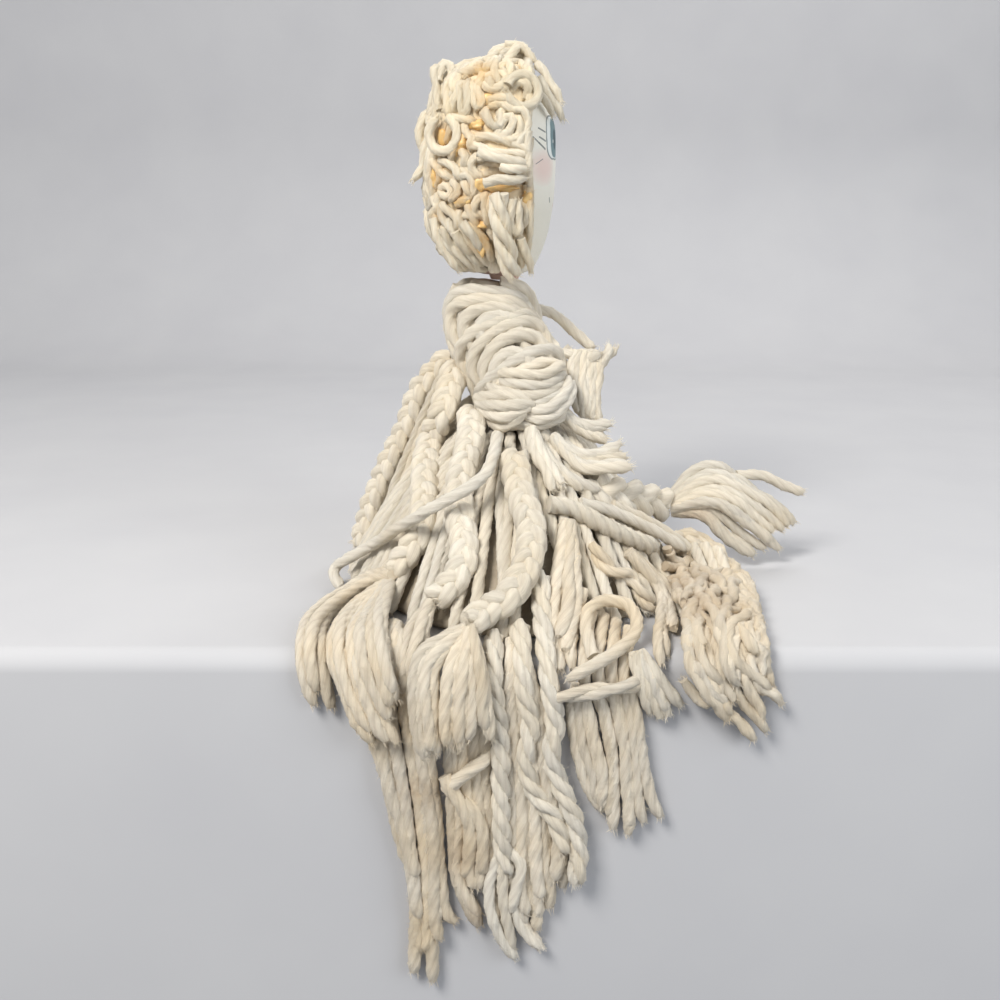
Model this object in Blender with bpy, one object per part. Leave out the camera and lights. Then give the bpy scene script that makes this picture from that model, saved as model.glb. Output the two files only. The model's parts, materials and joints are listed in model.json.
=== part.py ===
"""A yarn doll: a stuffed cloth head with glued yarn hair, on a plaited body over a skirt of loose yarn.

+X is the way the face looks, +Y is the doll's far side, +Z is up. The origin is on the flat underside of the
skirt, where the doll sits. Its front yarn runs on past the edge of the seat and hangs lower than that.
"""

import math

import bmesh
import bpy
import numpy as np
from mathutils import Vector

for old in list(bpy.data.objects):
    bpy.data.objects.remove(old, do_unlink=True)

mm = 0.001

# Yarn
yarn_thickness = 5.0 * mm
yarn_radius = yarn_thickness / 2
hair_thickness = 3.8 * mm
rope_thickness = 7.6 * mm
plait_width = 12.5 * mm
plait_depth = 9.0 * mm
plait_leg_radius = 2.9 * mm
plait_turn_length = 22 * mm
arm_width = 14 * mm
hem_yarn_radius = yarn_radius * 1.15
tassel_yarn_radius = yarn_radius * 1.2
thick_strand_radius = yarn_radius * 1.1
second_rope_radius = yarn_radius * 1.25
hanging_rope_radius = yarn_radius * 1.4
back_yarn_radius = yarn_radius * 1.3
back_lift = yarn_radius * 1.1
clearance = 0.3 * mm

# Seat that the doll is shaped over
seat_edge = 118 * mm
seat_edge_radius = 8 * mm

# Skirt heap
heap_height = 74 * mm
heap_top_radius = 10 * mm
heap_axis_x = 4 * mm
reach_right = 66 * mm
reach_front_right = 92 * mm
reach_front = 112 * mm
reach_front_left = 84 * mm
reach_left = 68 * mm
reach_back_left = 58 * mm
reach_back = 52 * mm
reach_back_right = 54 * mm
heap_fall_power = 1.5
heap_ridges = 20
heap_ridge_depth = 1.6 * mm

# Body
torso_radius = 20 * mm
torso_depth_radius = 18.5 * mm
torso_sink = 12 * mm
torso_stitch_height = 13 * mm
torso_stitch_depth = 1.7 * mm
torso_columns = 5
torso_top_x = -4 * mm
torso_height = 65.5 * mm
torso_top = heap_height - torso_sink + torso_height
torso_lean = 21 * mm
torso_bow = 12 * mm
torso_axis_shares = ((0, 0, 0), (-0.024, 0, 0.053), (-0.048, 0, 0.145), (0, 0.167, 0.313),
                     (0.286, 0.5, 0.481), (0.619, 0.75, 0.649), (0.857, 0.917, 0.802), (0.952, 1, 0.939),
                     (1, 1, 1))
torso_swell_shares = (0.34, 0.74, 0.99, 1.0, 1.06, 1.08, 1.0, 0.72, 0.3)
wrap_radius = 3.2 * mm
left_tie_radius = 5.2 * mm
right_tie_radius = 4.6 * mm
fan_radius = 3.3 * mm

# Head
head_height = 80 * mm
head_length = 48 * mm
head_width = 47 * mm
neck_length = 2.5 * mm
head_base = torso_top + neck_length
cloth_wall = 1.6 * mm
neck_radius = 8.5 * mm
neck_x = 2 * mm
neck_ball_rise = 5 * mm

# Hair, on a head whose length, width and height in the reference picture are these, in mm
pictured_head = (48, 47, 80)
hair_depth = 9.0 * mm
hairline = 11.5 * mm
hair_lump = 1.9 * mm
hair_rise = 1.2 * mm
hair_base = head_base + hair_rise
glue_depth = 1.2 * mm
curl_ring_radius = 6.4 * mm
curl_oval_radius = 6.6 * mm
curl_ring_place = (523, 91, -27)
curl_oval_place = (443, 134, -24)

# Skein
skein_half_width = 14 * mm
skein_width_shares = (0.36, 0.71, 1, 0.96, 0.86, 0.93, 0.43)
skein_half_depth = 6.5 * mm
skein_lump = 1.6 * mm

# Spacing of the rings along swept forms
strand_ring_gap = 9 * mm
loose_ring_gap = 17 * mm
hem_ring_gap = 26 * mm
bent_ring_gap = 6 * mm
hair_ring_gap = 6 * mm
knot_ring_gap = 4 * mm
torso_ring_gap = 5.5 * mm
skein_ring_gap = 8.5 * mm
plait_rings_a_turn = 5

# Sight lines: a place seen in the reference picture, in pixels, is brought back to the doll along them
picture_middle = 500
picture_reach = 1170
eye_distance = 520 * mm
eye_rise = 28 * mm
eye_height = head_base + eye_rise
eye_tilt = math.radians(14)
sight_step = 0.5 * mm
sight_far = 120 * mm
heap_slope_share = 1.25


# Places

def seen_at(u, v, depth):
    """The point that shows at pixel (u, v) of the picture, on the upright plane y = depth."""
    across = (u - picture_middle) / picture_reach
    down = (v - picture_middle) / picture_reach
    run = (depth + eye_distance) / (math.cos(eye_tilt) - down * math.sin(eye_tilt))
    rise = math.sin(eye_tilt) + down * math.cos(eye_tilt)
    return Vector((run * across, depth, eye_height - run * rise))


reaches = (reach_right, reach_back_right, reach_back, reach_back_left,
           reach_left, reach_front_left, reach_front, reach_front_right)


def heap_reach(angle):
    """How far the heap spreads at an angle round its axis, on a smooth curve through the eight reaches."""
    turn = (angle % math.tau) / math.tau * len(reaches)
    first = int(turn)
    part = turn - first
    a, b, c, d = (reaches[(first + k) % len(reaches)] for k in (-1, 0, 1, 2))
    return b + 0.5 * part * (c - a + part * (2 * a - 5 * b + 4 * c - d + part * (3 * (b - c) + d - a)))


def heap_surface(x, y):
    """The height of the heap of inner yarn over the seat."""
    away = math.hypot(x - heap_axis_x, y)
    reach = heap_reach(math.atan2(y, x - heap_axis_x))
    share = min(max((away - heap_top_radius) / (reach - heap_top_radius), 0), 1)
    return heap_height * (1 - share ** heap_fall_power)


def under_surface(point, lift):
    """True where a point is less than lift off the heap, the seat or the drop past the seat's edge."""
    x, y, z = point
    corner_y = seat_edge_radius - seat_edge
    if y > corner_y:
        height = heap_surface(x, y)
        return z < lift or (height > 0 and z < height + lift * heap_slope_share)
    if z > -seat_edge_radius:
        return math.hypot(y - corner_y, z + seat_edge_radius) < seat_edge_radius + lift
    return y > -seat_edge - lift


def seen_on_heap(u, v, lift):
    """The point that shows at pixel (u, v) and lies lift above the heap, the seat or its edge."""
    depth = -seat_edge * 2
    while depth < sight_far and not under_surface(seen_at(u, v, depth), lift):
        depth += sight_step
    return seen_at(u, v, depth)


def at_depths(places):
    """Points from (u, v, depth in mm)."""
    return [seen_at(u, v, depth * mm) for u, v, depth in places]


def lifted_on_heap(places):
    """Points from (u, v, height over the heap in mm)."""
    return [seen_on_heap(u, v, lift * mm) for u, v, lift in places]


# Shapes

def smooth_route(points, spacing):
    """Points at about even spacing on a smooth curve through the given ones."""
    ends = [points[0] * 2 - points[1], *points, points[-1] * 2 - points[-2]]
    route = []
    for a, b, c, d in zip(ends, ends[1:], ends[2:], ends[3:]):
        steps = max(1, round((c - b).length / spacing))
        for k in range(steps):
            t = k / steps
            route.append(b + 0.5 * t * (c - a + t * (2 * a - 5 * b + 4 * c - d + t * (3 * (b - c) + d - a))))
    return [*route, points[-1]]


def directions(route):
    """The way ahead at each point of a route."""
    run = [route[0] * 2 - route[1], *route, route[-1] * 2 - route[-2]]
    return [(after - before).normalized() for before, after in zip(run, run[2:])]


def skin(name, rings):
    """A closed mesh over rings of equally many points, capped at both ends."""
    shape = bmesh.new()
    loops = [[shape.verts.new(point) for point in ring] for ring in rings]
    for low, high in zip(loops, loops[1:]):
        for k in range(len(low)):
            after = (k + 1) % len(low)
            shape.faces.new((low[k], low[after], high[after]))
            shape.faces.new((low[k], high[after], high[k]))
    for loop in (loops[0], loops[-1]):
        middle = shape.verts.new(sum((vert.co for vert in loop), Vector()) / len(loop))
        for k in range(len(loop)):
            shape.faces.new((loop[k], loop[(k + 1) % len(loop)], middle))
    bmesh.ops.recalc_face_normals(shape, faces=shape.faces)
    mesh = bpy.data.meshes.new(name)
    shape.to_mesh(mesh)
    shape.free()
    return mesh


def tube(name, points, radius, sides=6, spacing=strand_ring_gap, tip_share=0.8, grow=0):
    """A round strand along a route, a little narrower at its far end."""
    route = smooth_route(points, spacing)
    along = directions(route)
    side = along[0].orthogonal().normalized()
    rings = []
    for k, (point, ahead) in enumerate(zip(route, along)):
        side = (side - ahead * side.dot(ahead)).normalized()
        up = ahead.cross(side)
        size = radius * (tip_share if k == len(route) - 1 else 1) + grow
        if k in (0, len(route) - 1):
            point = point + ahead * (grow if k else -grow)
        turns = (math.tau * n / sides for n in range(sides))
        rings.append([point + (side * math.cos(turn) + up * math.sin(turn)) * size for turn in turns])
    return skin(name, rings)


def leg_reach(angle, phase, width, depth, leg):
    """How far a plait's skin is from its axis at an angle: the farthest of its three crossing legs."""
    far = leg / 2
    for k in range(3):
        turn = phase + k * math.tau / 3
        x = (width - leg) * math.sin(turn)
        y = (depth - leg) * math.sin(2 * turn)
        along = x * math.cos(angle) + y * math.sin(angle)
        off = y * math.cos(angle) - x * math.sin(angle)
        if abs(off) < leg:
            far = max(far, along + math.sqrt(leg * leg - off * off))
    return far


def plait(name, points, facing, width=plait_width, depth=plait_depth, leg=plait_leg_radius, taper_share=0.85,
          sides=10, grow=0):
    """A three-leg plait along a route, its flat side to the given direction."""
    route = smooth_route(points, plait_turn_length / plait_rings_a_turn)
    along = directions(route)
    gone = 0
    rings = []
    for k, (point, ahead) in enumerate(zip(route, along)):
        if k:
            gone += (point - route[k - 1]).length
        up = (facing - ahead * facing.dot(ahead)).normalized()
        side = ahead.cross(up)
        phase = math.tau * gone / plait_turn_length
        size = 1 - (1 - taper_share) * k / (len(route) - 1)
        if k in (0, len(route) - 1):
            point = point + ahead * (grow if k else -grow)
        ring = []
        for n in range(sides):
            turn = math.tau * n / sides
            far = leg_reach(turn, phase, width / 2, depth / 2, leg) * size + grow
            ring.append(point + (side * math.cos(turn) + up * math.sin(turn)) * far)
        rings.append(ring)
    return skin(name, rings)


def meshes_combined(mesh, others, operation):
    """A mesh with the others joined to it or cut from it."""
    body = bpy.data.objects.new("body", mesh)
    tools = [bpy.data.objects.new("tool", other) for other in others]
    for thing in (body, *tools):
        bpy.context.scene.collection.objects.link(thing)
    for tool in tools:
        step = body.modifiers.new("step", "BOOLEAN")
        step.object = tool
        step.operation = operation
        step.solver = "EXACT"
    result = bpy.data.meshes.new_from_object(body.evaluated_get(bpy.context.evaluated_depsgraph_get()))
    for thing in (body, *tools):
        bpy.data.objects.remove(thing)
    return result


def largest_body(mesh):
    """Leaves only the largest separate body of a mesh, where a cut has left scraps."""
    shape = bmesh.new()
    shape.from_mesh(mesh)
    bmesh.ops.dissolve_degenerate(shape, edges=shape.edges, dist=clearance / 300)
    left = set(shape.verts)
    groups = []
    while left:
        group, edge = set(), [left.pop()]
        while edge:
            vert = edge.pop()
            group.add(vert)
            near = {side.other_vert(vert) for side in vert.link_edges} & left
            left -= near
            edge.extend(near)
        groups.append(group)
    skins = [{face for vert in group for face in vert.link_faces} for group in groups]
    areas = [sum(face.calc_area() for face in faces) for faces in skins]
    keep = groups[areas.index(max(areas))]
    bmesh.ops.delete(shape, geom=[vert for vert in shape.verts if vert not in keep], context="VERTS")
    shape.to_mesh(mesh)
    shape.free()
    return mesh


def box_of(mesh):
    points = np.array([vert.co[:] for vert in mesh.vertices])
    return points.min(axis=0), points.max(axis=0)


def boxes_meet(a, b):
    return bool(np.all(a[0] < b[1]) and np.all(b[0] < a[1]))


materials = {}


def material(name, colour, roughness):
    if name not in materials:
        made = bpy.data.materials.new(name)
        made.use_nodes = True
        shader = made.node_tree.nodes["Principled BSDF"]
        shader.inputs["Base Color"].default_value = (*colour, 1)
        shader.inputs["Roughness"].default_value = roughness
        shader.inputs["Metallic"].default_value = 0
        materials[name] = made
    return materials[name]


pale_yarn = material("pale_yarn", (0.70, 0.66, 0.58), 0.95)
cream_yarn = material("cream_yarn", (0.74, 0.66, 0.50), 0.95)
hair_yarn = material("hair_yarn", (0.80, 0.74, 0.60), 0.9)
old_glue = material("old_glue", (0.80, 0.52, 0.20), 0.45)
white_cloth = material("white_cloth", (0.70, 0.76, 0.78), 0.8)
neck_cloth = material("neck_cloth", (0.80, 0.62, 0.52), 0.85)
cotton_wad = material("cotton_wad", (0.85, 0.84, 0.80), 1.0)

placed = []


def add_piece(name, shape, finish, pivot=(0, 0, 0), others_give_way=True):
    """Adds a piece from its shape, a function of how much larger than real it is wanted.

    It gives way, by the clearance, to each piece that was placed before it.
    """
    mesh = shape(0)
    box = box_of(mesh)
    near = [spare for spare, spare_box in placed if boxes_meet(box, spare_box)]
    if near:
        mesh = largest_body(meshes_combined(mesh, near, "DIFFERENCE"))
    if others_give_way:
        spare = shape(clearance)
        placed.append((spare, box_of(spare)))
    add_object(name, mesh, finish, pivot)


def add_object(name, mesh, finish, pivot):
    """Puts a finished mesh in the scene, with its object's origin on its joint."""
    pivot = Vector(pivot)
    for vert in mesh.vertices:
        vert.co -= pivot
    mesh.materials.clear()
    mesh.materials.append(finish)
    mesh.shade_smooth()
    mesh.set_sharp_from_angle(angle=math.radians(60))
    made = bpy.data.objects.new(name, mesh)
    made.location = pivot
    bpy.context.scene.collection.objects.link(made)


def strands(routes, radius, sides=5, spacing=loose_ring_gap):
    """Loose strands that come out of one root, as a shape function."""
    def shape(grow):
        tubes = [tube("strand", route, radius, sides, spacing, grow=grow) for route in routes]
        return largest_body(meshes_combined(tubes[0], tubes[1:], "UNION"))
    return shape


def strand(points, radius, sides=6, spacing=strand_ring_gap):
    return lambda grow: tube("strand", points, radius, sides, spacing, grow=grow)


def free_cord(name, points, radius, finish, pivot=(0, 0, 0)):
    """A single length of yarn that lies or hangs free, as a curve with a round section."""
    curve = bpy.data.curves.new(name, "CURVE")
    curve.dimensions = "3D"
    curve.bevel_depth = radius
    curve.bevel_resolution = 2
    curve.use_fill_caps = True
    route = smooth_route(points, radius * 4.5)
    spline = curve.splines.new("POLY")
    spline.points.add(len(route) - 1)
    pivot = Vector(pivot)
    for point, place in zip(spline.points, route):
        point.co = (*(place - pivot), 1)
    curve.materials.append(finish)
    made = bpy.data.objects.new(name, curve)
    made.location = pivot
    bpy.context.scene.collection.objects.link(made)


# Inner yarn of the skirt, gathered in a heap with a flat underside

heap_shares = (0, 0.2, 0.4, 0.58, 0.74, 0.87, 0.96, 1)


def skirt_bundle(grow):
    """The heap's rings from its gathered top to the seat, with its ridges only at its real size."""
    rings = []
    steps = heap_ridges if grow else 2 * heap_ridges
    for share in heap_shares:
        height = heap_height * (1 - share ** heap_fall_power)
        ring = []
        for n in range(steps):
            turn = math.tau * n / steps
            away = heap_top_radius + (heap_reach(turn) - heap_top_radius) * share + grow
            if not grow and 0 < share < 1:
                away -= heap_ridge_depth * (n % 2)
            lift = grow if share < 1 else -grow
            ring.append(Vector((heap_axis_x + away * math.cos(turn), away * math.sin(turn), height + lift)))
        rings.append(ring)
    return skin("skirt_bundle", rings)


add_piece("skirt_bundle", skirt_bundle, pale_yarn)


# Torso: one thick plaited tube that leans over the skirt, drawn in at its foot

def torso(grow):
    """Rings along the torso, raised in slanting stitches."""
    axis = [Vector((torso_top_x + torso_lean * lean, -torso_bow * bow, torso_top - torso_height * drop))
            for lean, bow, drop in torso_axis_shares]
    route = smooth_route(axis, torso_ring_gap)
    along = directions(route)
    legs = np.linspace(0, len(route) - 1, len(torso_swell_shares))
    rings = []
    gone = 0
    for k, (point, ahead) in enumerate(zip(route, along)):
        if k:
            gone += (point - route[k - 1]).length
        side = Vector((1, 0, 0))
        side = (side - ahead * side.dot(ahead)).normalized()
        up = ahead.cross(side)
        swell = float(np.interp(k, legs, torso_swell_shares))
        if k in (0, len(route) - 1):
            point = point + ahead * (grow if k else -grow)
        ring = []
        for n in range(20):
            turn = math.tau * n / 20
            slant = abs(((turn * torso_columns / math.tau) % 1) - 0.5)
            stitch = math.cos(math.tau * (gone / torso_stitch_height + slant))
            raised = torso_stitch_depth * stitch * min(1, swell * swell)
            across = (torso_radius * swell + raised + grow) * math.cos(turn)
            deep = (torso_depth_radius * swell + raised + grow) * math.sin(turn)
            ring.append(point + side * across + up * deep)
        rings.append(ring)
    return skin("torso_plait", rings)


add_piece("torso_plait", torso, pale_yarn)


# Head: a cloth cover over wadding, on a rolled cloth neck with a rounded end

head_levels_share = (
    (0, 0.54, 0.46, 0.46), (0.08, 0.70, 0.72, 0.68), (0.20, 0.86, 0.90, 0.88), (0.38, 0.97, 1.0, 0.98),
    (0.58, 1.0, 1.0, 1.0), (0.78, 0.99, 0.93, 0.95), (0.90, 0.84, 0.80, 0.80), (0.97, 0.50, 0.50, 0.50),
    (1.0, 0.12, 0.12, 0.12))
head_face_roundness = 0.86


def head_rings(grow, base_share=0, sides=14, lumps=0, depth_shares=None):
    """Rings round the head, larger than its cloth by grow, or at each level by a share of it."""
    rings = []
    for number, (level, front, back, wide) in enumerate(head_levels_share):
        if level < base_share:
            continue
        height = head_base + head_height * level + grow * (2 * level - 1)
        if depth_shares:
            grow = depth_shares[number]
        ring = []
        for n in range(sides):
            turn = math.tau * n / sides
            x, y = math.cos(turn), math.sin(turn)
            x = math.copysign(abs(x) ** head_face_roundness, x)
            y = math.copysign(abs(y) ** head_face_roundness, y)
            lump = lumps * math.sin(3.7 * turn + 2.1 * number) * math.sin(5.3 * turn - 1.3 * number)
            far = head_length / 2 * (front if x > 0 else back) + grow + lump
            ring.append(Vector((far * x, (head_width / 2 * wide + grow + lump) * y, height)))
        rings.append(ring)
    return rings


neck_ball = Vector((neck_x, 0, head_base + neck_ball_rise))


def neck_roll(grow):
    """A stem that stands on the torso, with a ball at its top end inside the head."""
    rings = []
    stem = neck_radius * 0.72
    for height, radius in ((torso_top + clearance, stem), (neck_ball.z - neck_radius * 0.78, stem)):
        rings.append((height, radius))
    for turn in (-35, -18, 0, 18, 36, 54, 72, 85):
        lift = math.radians(turn)
        rings.append((neck_ball.z + neck_radius * math.sin(lift), neck_radius * math.cos(lift)))
    shape = []
    for number, (height, radius) in enumerate(rings):
        height += grow if number == len(rings) - 1 else (-grow if number == 0 else 0)
        far = radius + grow
        shape.append([Vector((neck_x + far * math.cos(turn), far * math.sin(turn), height))
                      for turn in (math.tau * n / 16 for n in range(16))])
    return skin("neck_roll", shape)


add_piece("neck_roll", neck_roll, neck_cloth, (neck_x, 0, torso_top))


def head_hollow(grow):
    """The inside of the cloth cover, run on through its open neck."""
    rings = head_rings(-cloth_wall + grow)
    low = [Vector((point.x, point.y, point.z - 2 * cloth_wall - head_height * 0.03)) for point in rings[0]]
    return skin("hollow", [low, *rings])


def head_cover(grow):
    if grow:
        return skin("head_cover", head_rings(grow))
    return meshes_combined(skin("head_cover", head_rings(0)), [head_hollow(0)], "DIFFERENCE")


add_piece("head_stuffing", lambda grow: skin("head_stuffing", head_rings(grow - cloth_wall - clearance)),
          cotton_wad, neck_ball, others_give_way=False)
add_piece("head_cover", head_cover, white_cloth, neck_ball)


# Hair: loops of yarn glued over the back, the top and the sides of the head

def behind_hairline(rings, grow):
    """Rings held back to the hairline, where the hair ends in a steep edge."""
    return [[Vector((min(point.x, hairline + grow), point.y, point.z)) for point in ring] for ring in rings]


def glue_coat(grow):
    """A yellowed coat of glue on the cloth under the hair."""
    return skin("glue_coat", behind_hairline(head_rings(glue_depth + clearance + grow, 0.08), grow))


hair_depth_shares = (0.2, 0.45, 0.85, 1, 1, 1, 1, 1, 1.1)


def hair_mat(grow):
    """The mass of glued loops, lumpy outside, over the glue, thinner at the nape."""
    depths = [share * hair_depth + grow for share in hair_depth_shares]
    rings = head_rings(hair_depth + grow, 0.08, sides=18, lumps=hair_lump, depth_shares=depths)
    for point in rings[0]:
        point.z = hair_base - grow
    return skin("hair_mat", behind_hairline(rings, grow))


add_piece("glue_coat", glue_coat, old_glue, neck_ball)
add_piece("hair_mat", hair_mat, hair_yarn, neck_ball)


def turned_ring(centre, radius, facing, start=0, sweep=360, count=12):
    """Points round an arc of a circle that faces a direction."""
    facing = Vector(facing).normalized()
    side = facing.cross(Vector((0, 0, 1))).normalized()
    up = side.cross(facing)
    turns = [math.radians(start + sweep * k / count) for k in range(count + 1)]
    return [centre + (side * math.cos(turn) + up * math.sin(turn)) * radius for turn in turns]


hair_places = {
    "hair_tuft_back": ([(440, 96, -16), (434, 78, -14), (437, 66, -12), (446, 62, -10), (455, 69, -10),
                        (458, 88, -12)], 0.5),
    "hair_tuft_top": ([(500, 62, -8), (510, 52, -6), (519, 44, -4), (530, 54, -2), (540, 68, -2)], 0.8),
    "hair_end_loose": ([(431, 134, -8), (424, 150, -7), (423, 166, -6), (418, 174, -6), (413, 180, -6)],
                       0.5),
    "forehead_lock_upper": ([(536, 66, -6), (546, 78, -8), (553, 96, -9), (560, 110, -9), (562, 120, -9)],
                            0.6),
    "forehead_lock_lower": ([(526, 84, -17), (538, 92, -18), (547, 104, -17), (553, 116, -15)], 0.5),
    "cheek_lock_upper": ([(478, 150, -36), (492, 156, -37), (510, 158, -36), (526, 160, -33)], 0.9),
    "cheek_lock_lower": ([(484, 182, -35), (498, 177, -36), (514, 176, -35), (527, 172, -32)], 0.9),
    "side_lock": ([(500, 196, -34), (504, 214, -34), (503, 234, -33), (509, 252, -31), (512, 268, -28),
                   (514, 276, -26)], 1.25),
    "side_lock_short": ([(516, 198, -33), (521, 216, -32), (522, 240, -30), (528, 262, -25)], 0.8),
    "nape_lock_outer": ([(438, 214, -20), (440, 236, -20), (449, 252, -18), (458, 266, -16)], 1.0),
    "nape_lock_inner": ([(462, 216, -30), (463, 234, -29), (470, 250, -25), (474, 262, -20)], 0.9),
}


def on_head(places):
    """Points from (u, v, depth in mm), which keep their place on the head when its size changes."""
    root = Vector((0, 0, head_base))
    sizes = (head_length, head_width, head_height)
    growth = [size / (seen * mm) for size, seen in zip(sizes, pictured_head)]
    points = []
    for point in at_depths(places):
        away = point - root
        points.append(root + Vector([part * more for part, more in zip(away, growth)]))
    return points


hair_pieces = {}
for name, (places, share) in hair_places.items():
    hair_pieces[name] = (on_head(places), hair_thickness * share)
curl_radius = hair_thickness * 0.55
ring_middle, oval_middle = on_head([curl_ring_place, curl_oval_place])
curl_ring = turned_ring(ring_middle, curl_ring_radius, (0.25, -1, 0.2), 20, 300)
curl_oval = turned_ring(oval_middle, curl_oval_radius, (-0.55, -1, 0), 110, 290)
hair_pieces["hair_curl_ring"] = (curl_ring, curl_radius)
hair_pieces["hair_curl_oval"] = (curl_oval, curl_radius)

for name, (route, radius) in hair_pieces.items():
    add_piece(name, strand(route, radius, spacing=hair_ring_gap), hair_yarn, neck_ball)


# Bands of yarn twisted round the foot of the torso

waist_bands = {
    "waist_wrap_upper": ([(504, 377, -33), (520, 380, -35), (538, 381, -35), (553, 374, -33)], wrap_radius),
    "waist_wrap_lower": ([(506, 392, -33), (520, 396, -35), (540, 396, -35), (556, 390, -33)], wrap_radius),
    "waist_tie_left": ([(480, 392, -29), (484, 406, -33), (496, 416, -36), (511, 415, -37), (524, 406, -37),
                        (532, 400, -36)], left_tie_radius),
    "waist_tie_right": ([(503, 424, -33), (520, 423, -36), (541, 420, -37), (558, 413, -35), (568, 400, -31),
                         (571, 384, -25)], right_tie_radius),
}
for name, (places, radius) in waist_bands.items():
    add_piece(name, strand(at_depths(places), radius, spacing=bent_ring_gap), pale_yarn)


# The torso's loose side: a fan of strands, the knot at its corner and the strand that arches over to it

side_knot_places = [(598, 365, -13), (603, 357, -12), (611, 352, -11), (612, 347, -10)]
side_fan_places = (
    [(574, 350, -12), (569, 370, -15), (572, 392, -18), (580, 418, -20)],
    [(586, 352, -12), (584, 372, -15), (585, 395, -18), (589, 421, -20)],
    [(598, 357, -12), (598, 375, -14), (596, 398, -17), (597, 424, -20)],
    [(562, 350, -9), (578, 358, -12), (600, 354, -12)],
)
add_piece("side_knot", strand(at_depths(side_knot_places), fan_radius, spacing=knot_ring_gap), pale_yarn)
add_piece("side_fan", strands([at_depths(places) for places in side_fan_places], fan_radius), pale_yarn)
free_cord("shoulder_strand", at_depths([(537, 309, 4), (552, 313, 5), (569, 327, 5), (585, 341, 3),
                                        (593, 348, 0)]),
          yarn_radius, pale_yarn)


# Cut ends of yarn that stick out from under the torso

fringe_upper = (
    [(552, 436, -38), (569, 449, -42), (592, 455, -42), (606, 450, -40), (620, 443, -38)],
    [(552, 437, -39), (576, 459, -43), (603, 459, -42), (625, 456, -40)],
    [(553, 438, -39), (580, 467, -43), (608, 468, -42), (631, 467, -40)],
)
fringe_short = ([(564, 415, -30), (578, 423, -30), (594, 425, -30), (611, 423, -30)],
                [(565, 417, -30), (582, 431, -30), (606, 441, -30)])
fringe_lower = (
    [(532, 430, 5), (546, 455, 5), (569, 477, 5), (597, 490, 5)],
    [(530, 430, 5), (534, 453, 5), (546, 471, 5), (553, 491, 5)],
    [(531, 430, 5), (541, 452, 5), (551, 468, 5), (563, 488, 5)],
)


add_piece("fringe_upper", strands([at_depths(places) for places in fringe_upper], yarn_radius), pale_yarn)
add_piece("fringe_short", strands([at_depths(places) for places in fringe_short], yarn_radius), pale_yarn)


# Arm: a plait that runs out to the right, its yarn loosened into a hand

arm_places = [(604, 488, -46), (619, 493, -39), (636, 496, -30), (653, 500, -20), (667, 505, -12)]
hand_places = (
    [(669, 502, -11), (690, 473, -8), (713, 465, -6), (734, 475, -4)],
    [(669, 505, -11), (695, 480, -11), (718, 474, -10), (748, 490, -7), (773, 503, -3), (794, 523, 0)],
    [(670, 507, -12), (702, 490, -14), (729, 492, -14), (757, 508, -11), (782, 529, -6)],
    [(671, 509, -13), (706, 501, -18), (732, 510, -17), (752, 526, -13), (779, 549, -9)],
    [(672, 510, -12), (706, 508, -15), (725, 519, -14), (743, 535, -11), (764, 548, -9)],
    [(673, 512, -11), (704, 516, -16), (720, 533, -16), (739, 547, -14), (752, 554, -12)],
)
hand_stray = [(737, 475.6, -3.6), (749, 474.5, -2.4), (765, 476, 0), (783, 485, 2), (803, 492, 4)]
arm_root = at_depths(arm_places)[0]
outward_front = Vector((0, -0.8, 0.6))
add_piece("arm_plait", lambda grow: plait("arm_plait", at_depths(arm_places), outward_front, arm_width,
                                          grow=grow),
          pale_yarn, arm_root)
add_piece("hand_tassel", strands([at_depths(places) for places in hand_places], yarn_radius), pale_yarn,
          arm_root)
free_cord("hand_strand", at_depths(hand_stray), yarn_radius, pale_yarn, arm_root)


# Front plait, on top of the others, with its loosened end

front_plait_places = [(513, 455, 6), (517, 478, 7), (524, 505, 8), (532, 530, 9), (530, 553, 10),
                      (523, 574, 11), (508, 597, 12), (484, 613, 13), (470, 623, 13)]
front_tassel_places = (
    [(465, 628, 13), (440, 640, 13), (420, 655, 13), (414, 684, 12), (416, 722, 12), (424, 757, 12)],
    [(465, 629, 13), (446, 646, 13), (432, 665, 12), (430, 700, 12), (437, 752, 12)],
    [(466, 630, 13), (456, 655, 12), (450, 690, 12), (451, 745, 12)],
    [(467, 630, 13), (468, 660, 12), (466, 700, 12), (460, 748, 12)],
    [(469, 629, 13), (478, 655, 12), (484, 690, 12), (490, 738, 12)],
)
front_pivot = lifted_on_heap([(513, 457, 6)])[0]
add_piece("front_plait", lambda grow: plait("front_plait", lifted_on_heap(front_plait_places), outward_front,
                                            grow=grow),
          pale_yarn, front_pivot)
add_piece("front_tassel", strands([lifted_on_heap(places) for places in front_tassel_places],
                                  thick_strand_radius),
          cream_yarn, front_pivot)


# Left plaits: the inner one stays under the front plait, the middle one lifts and the outer one swings

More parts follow.
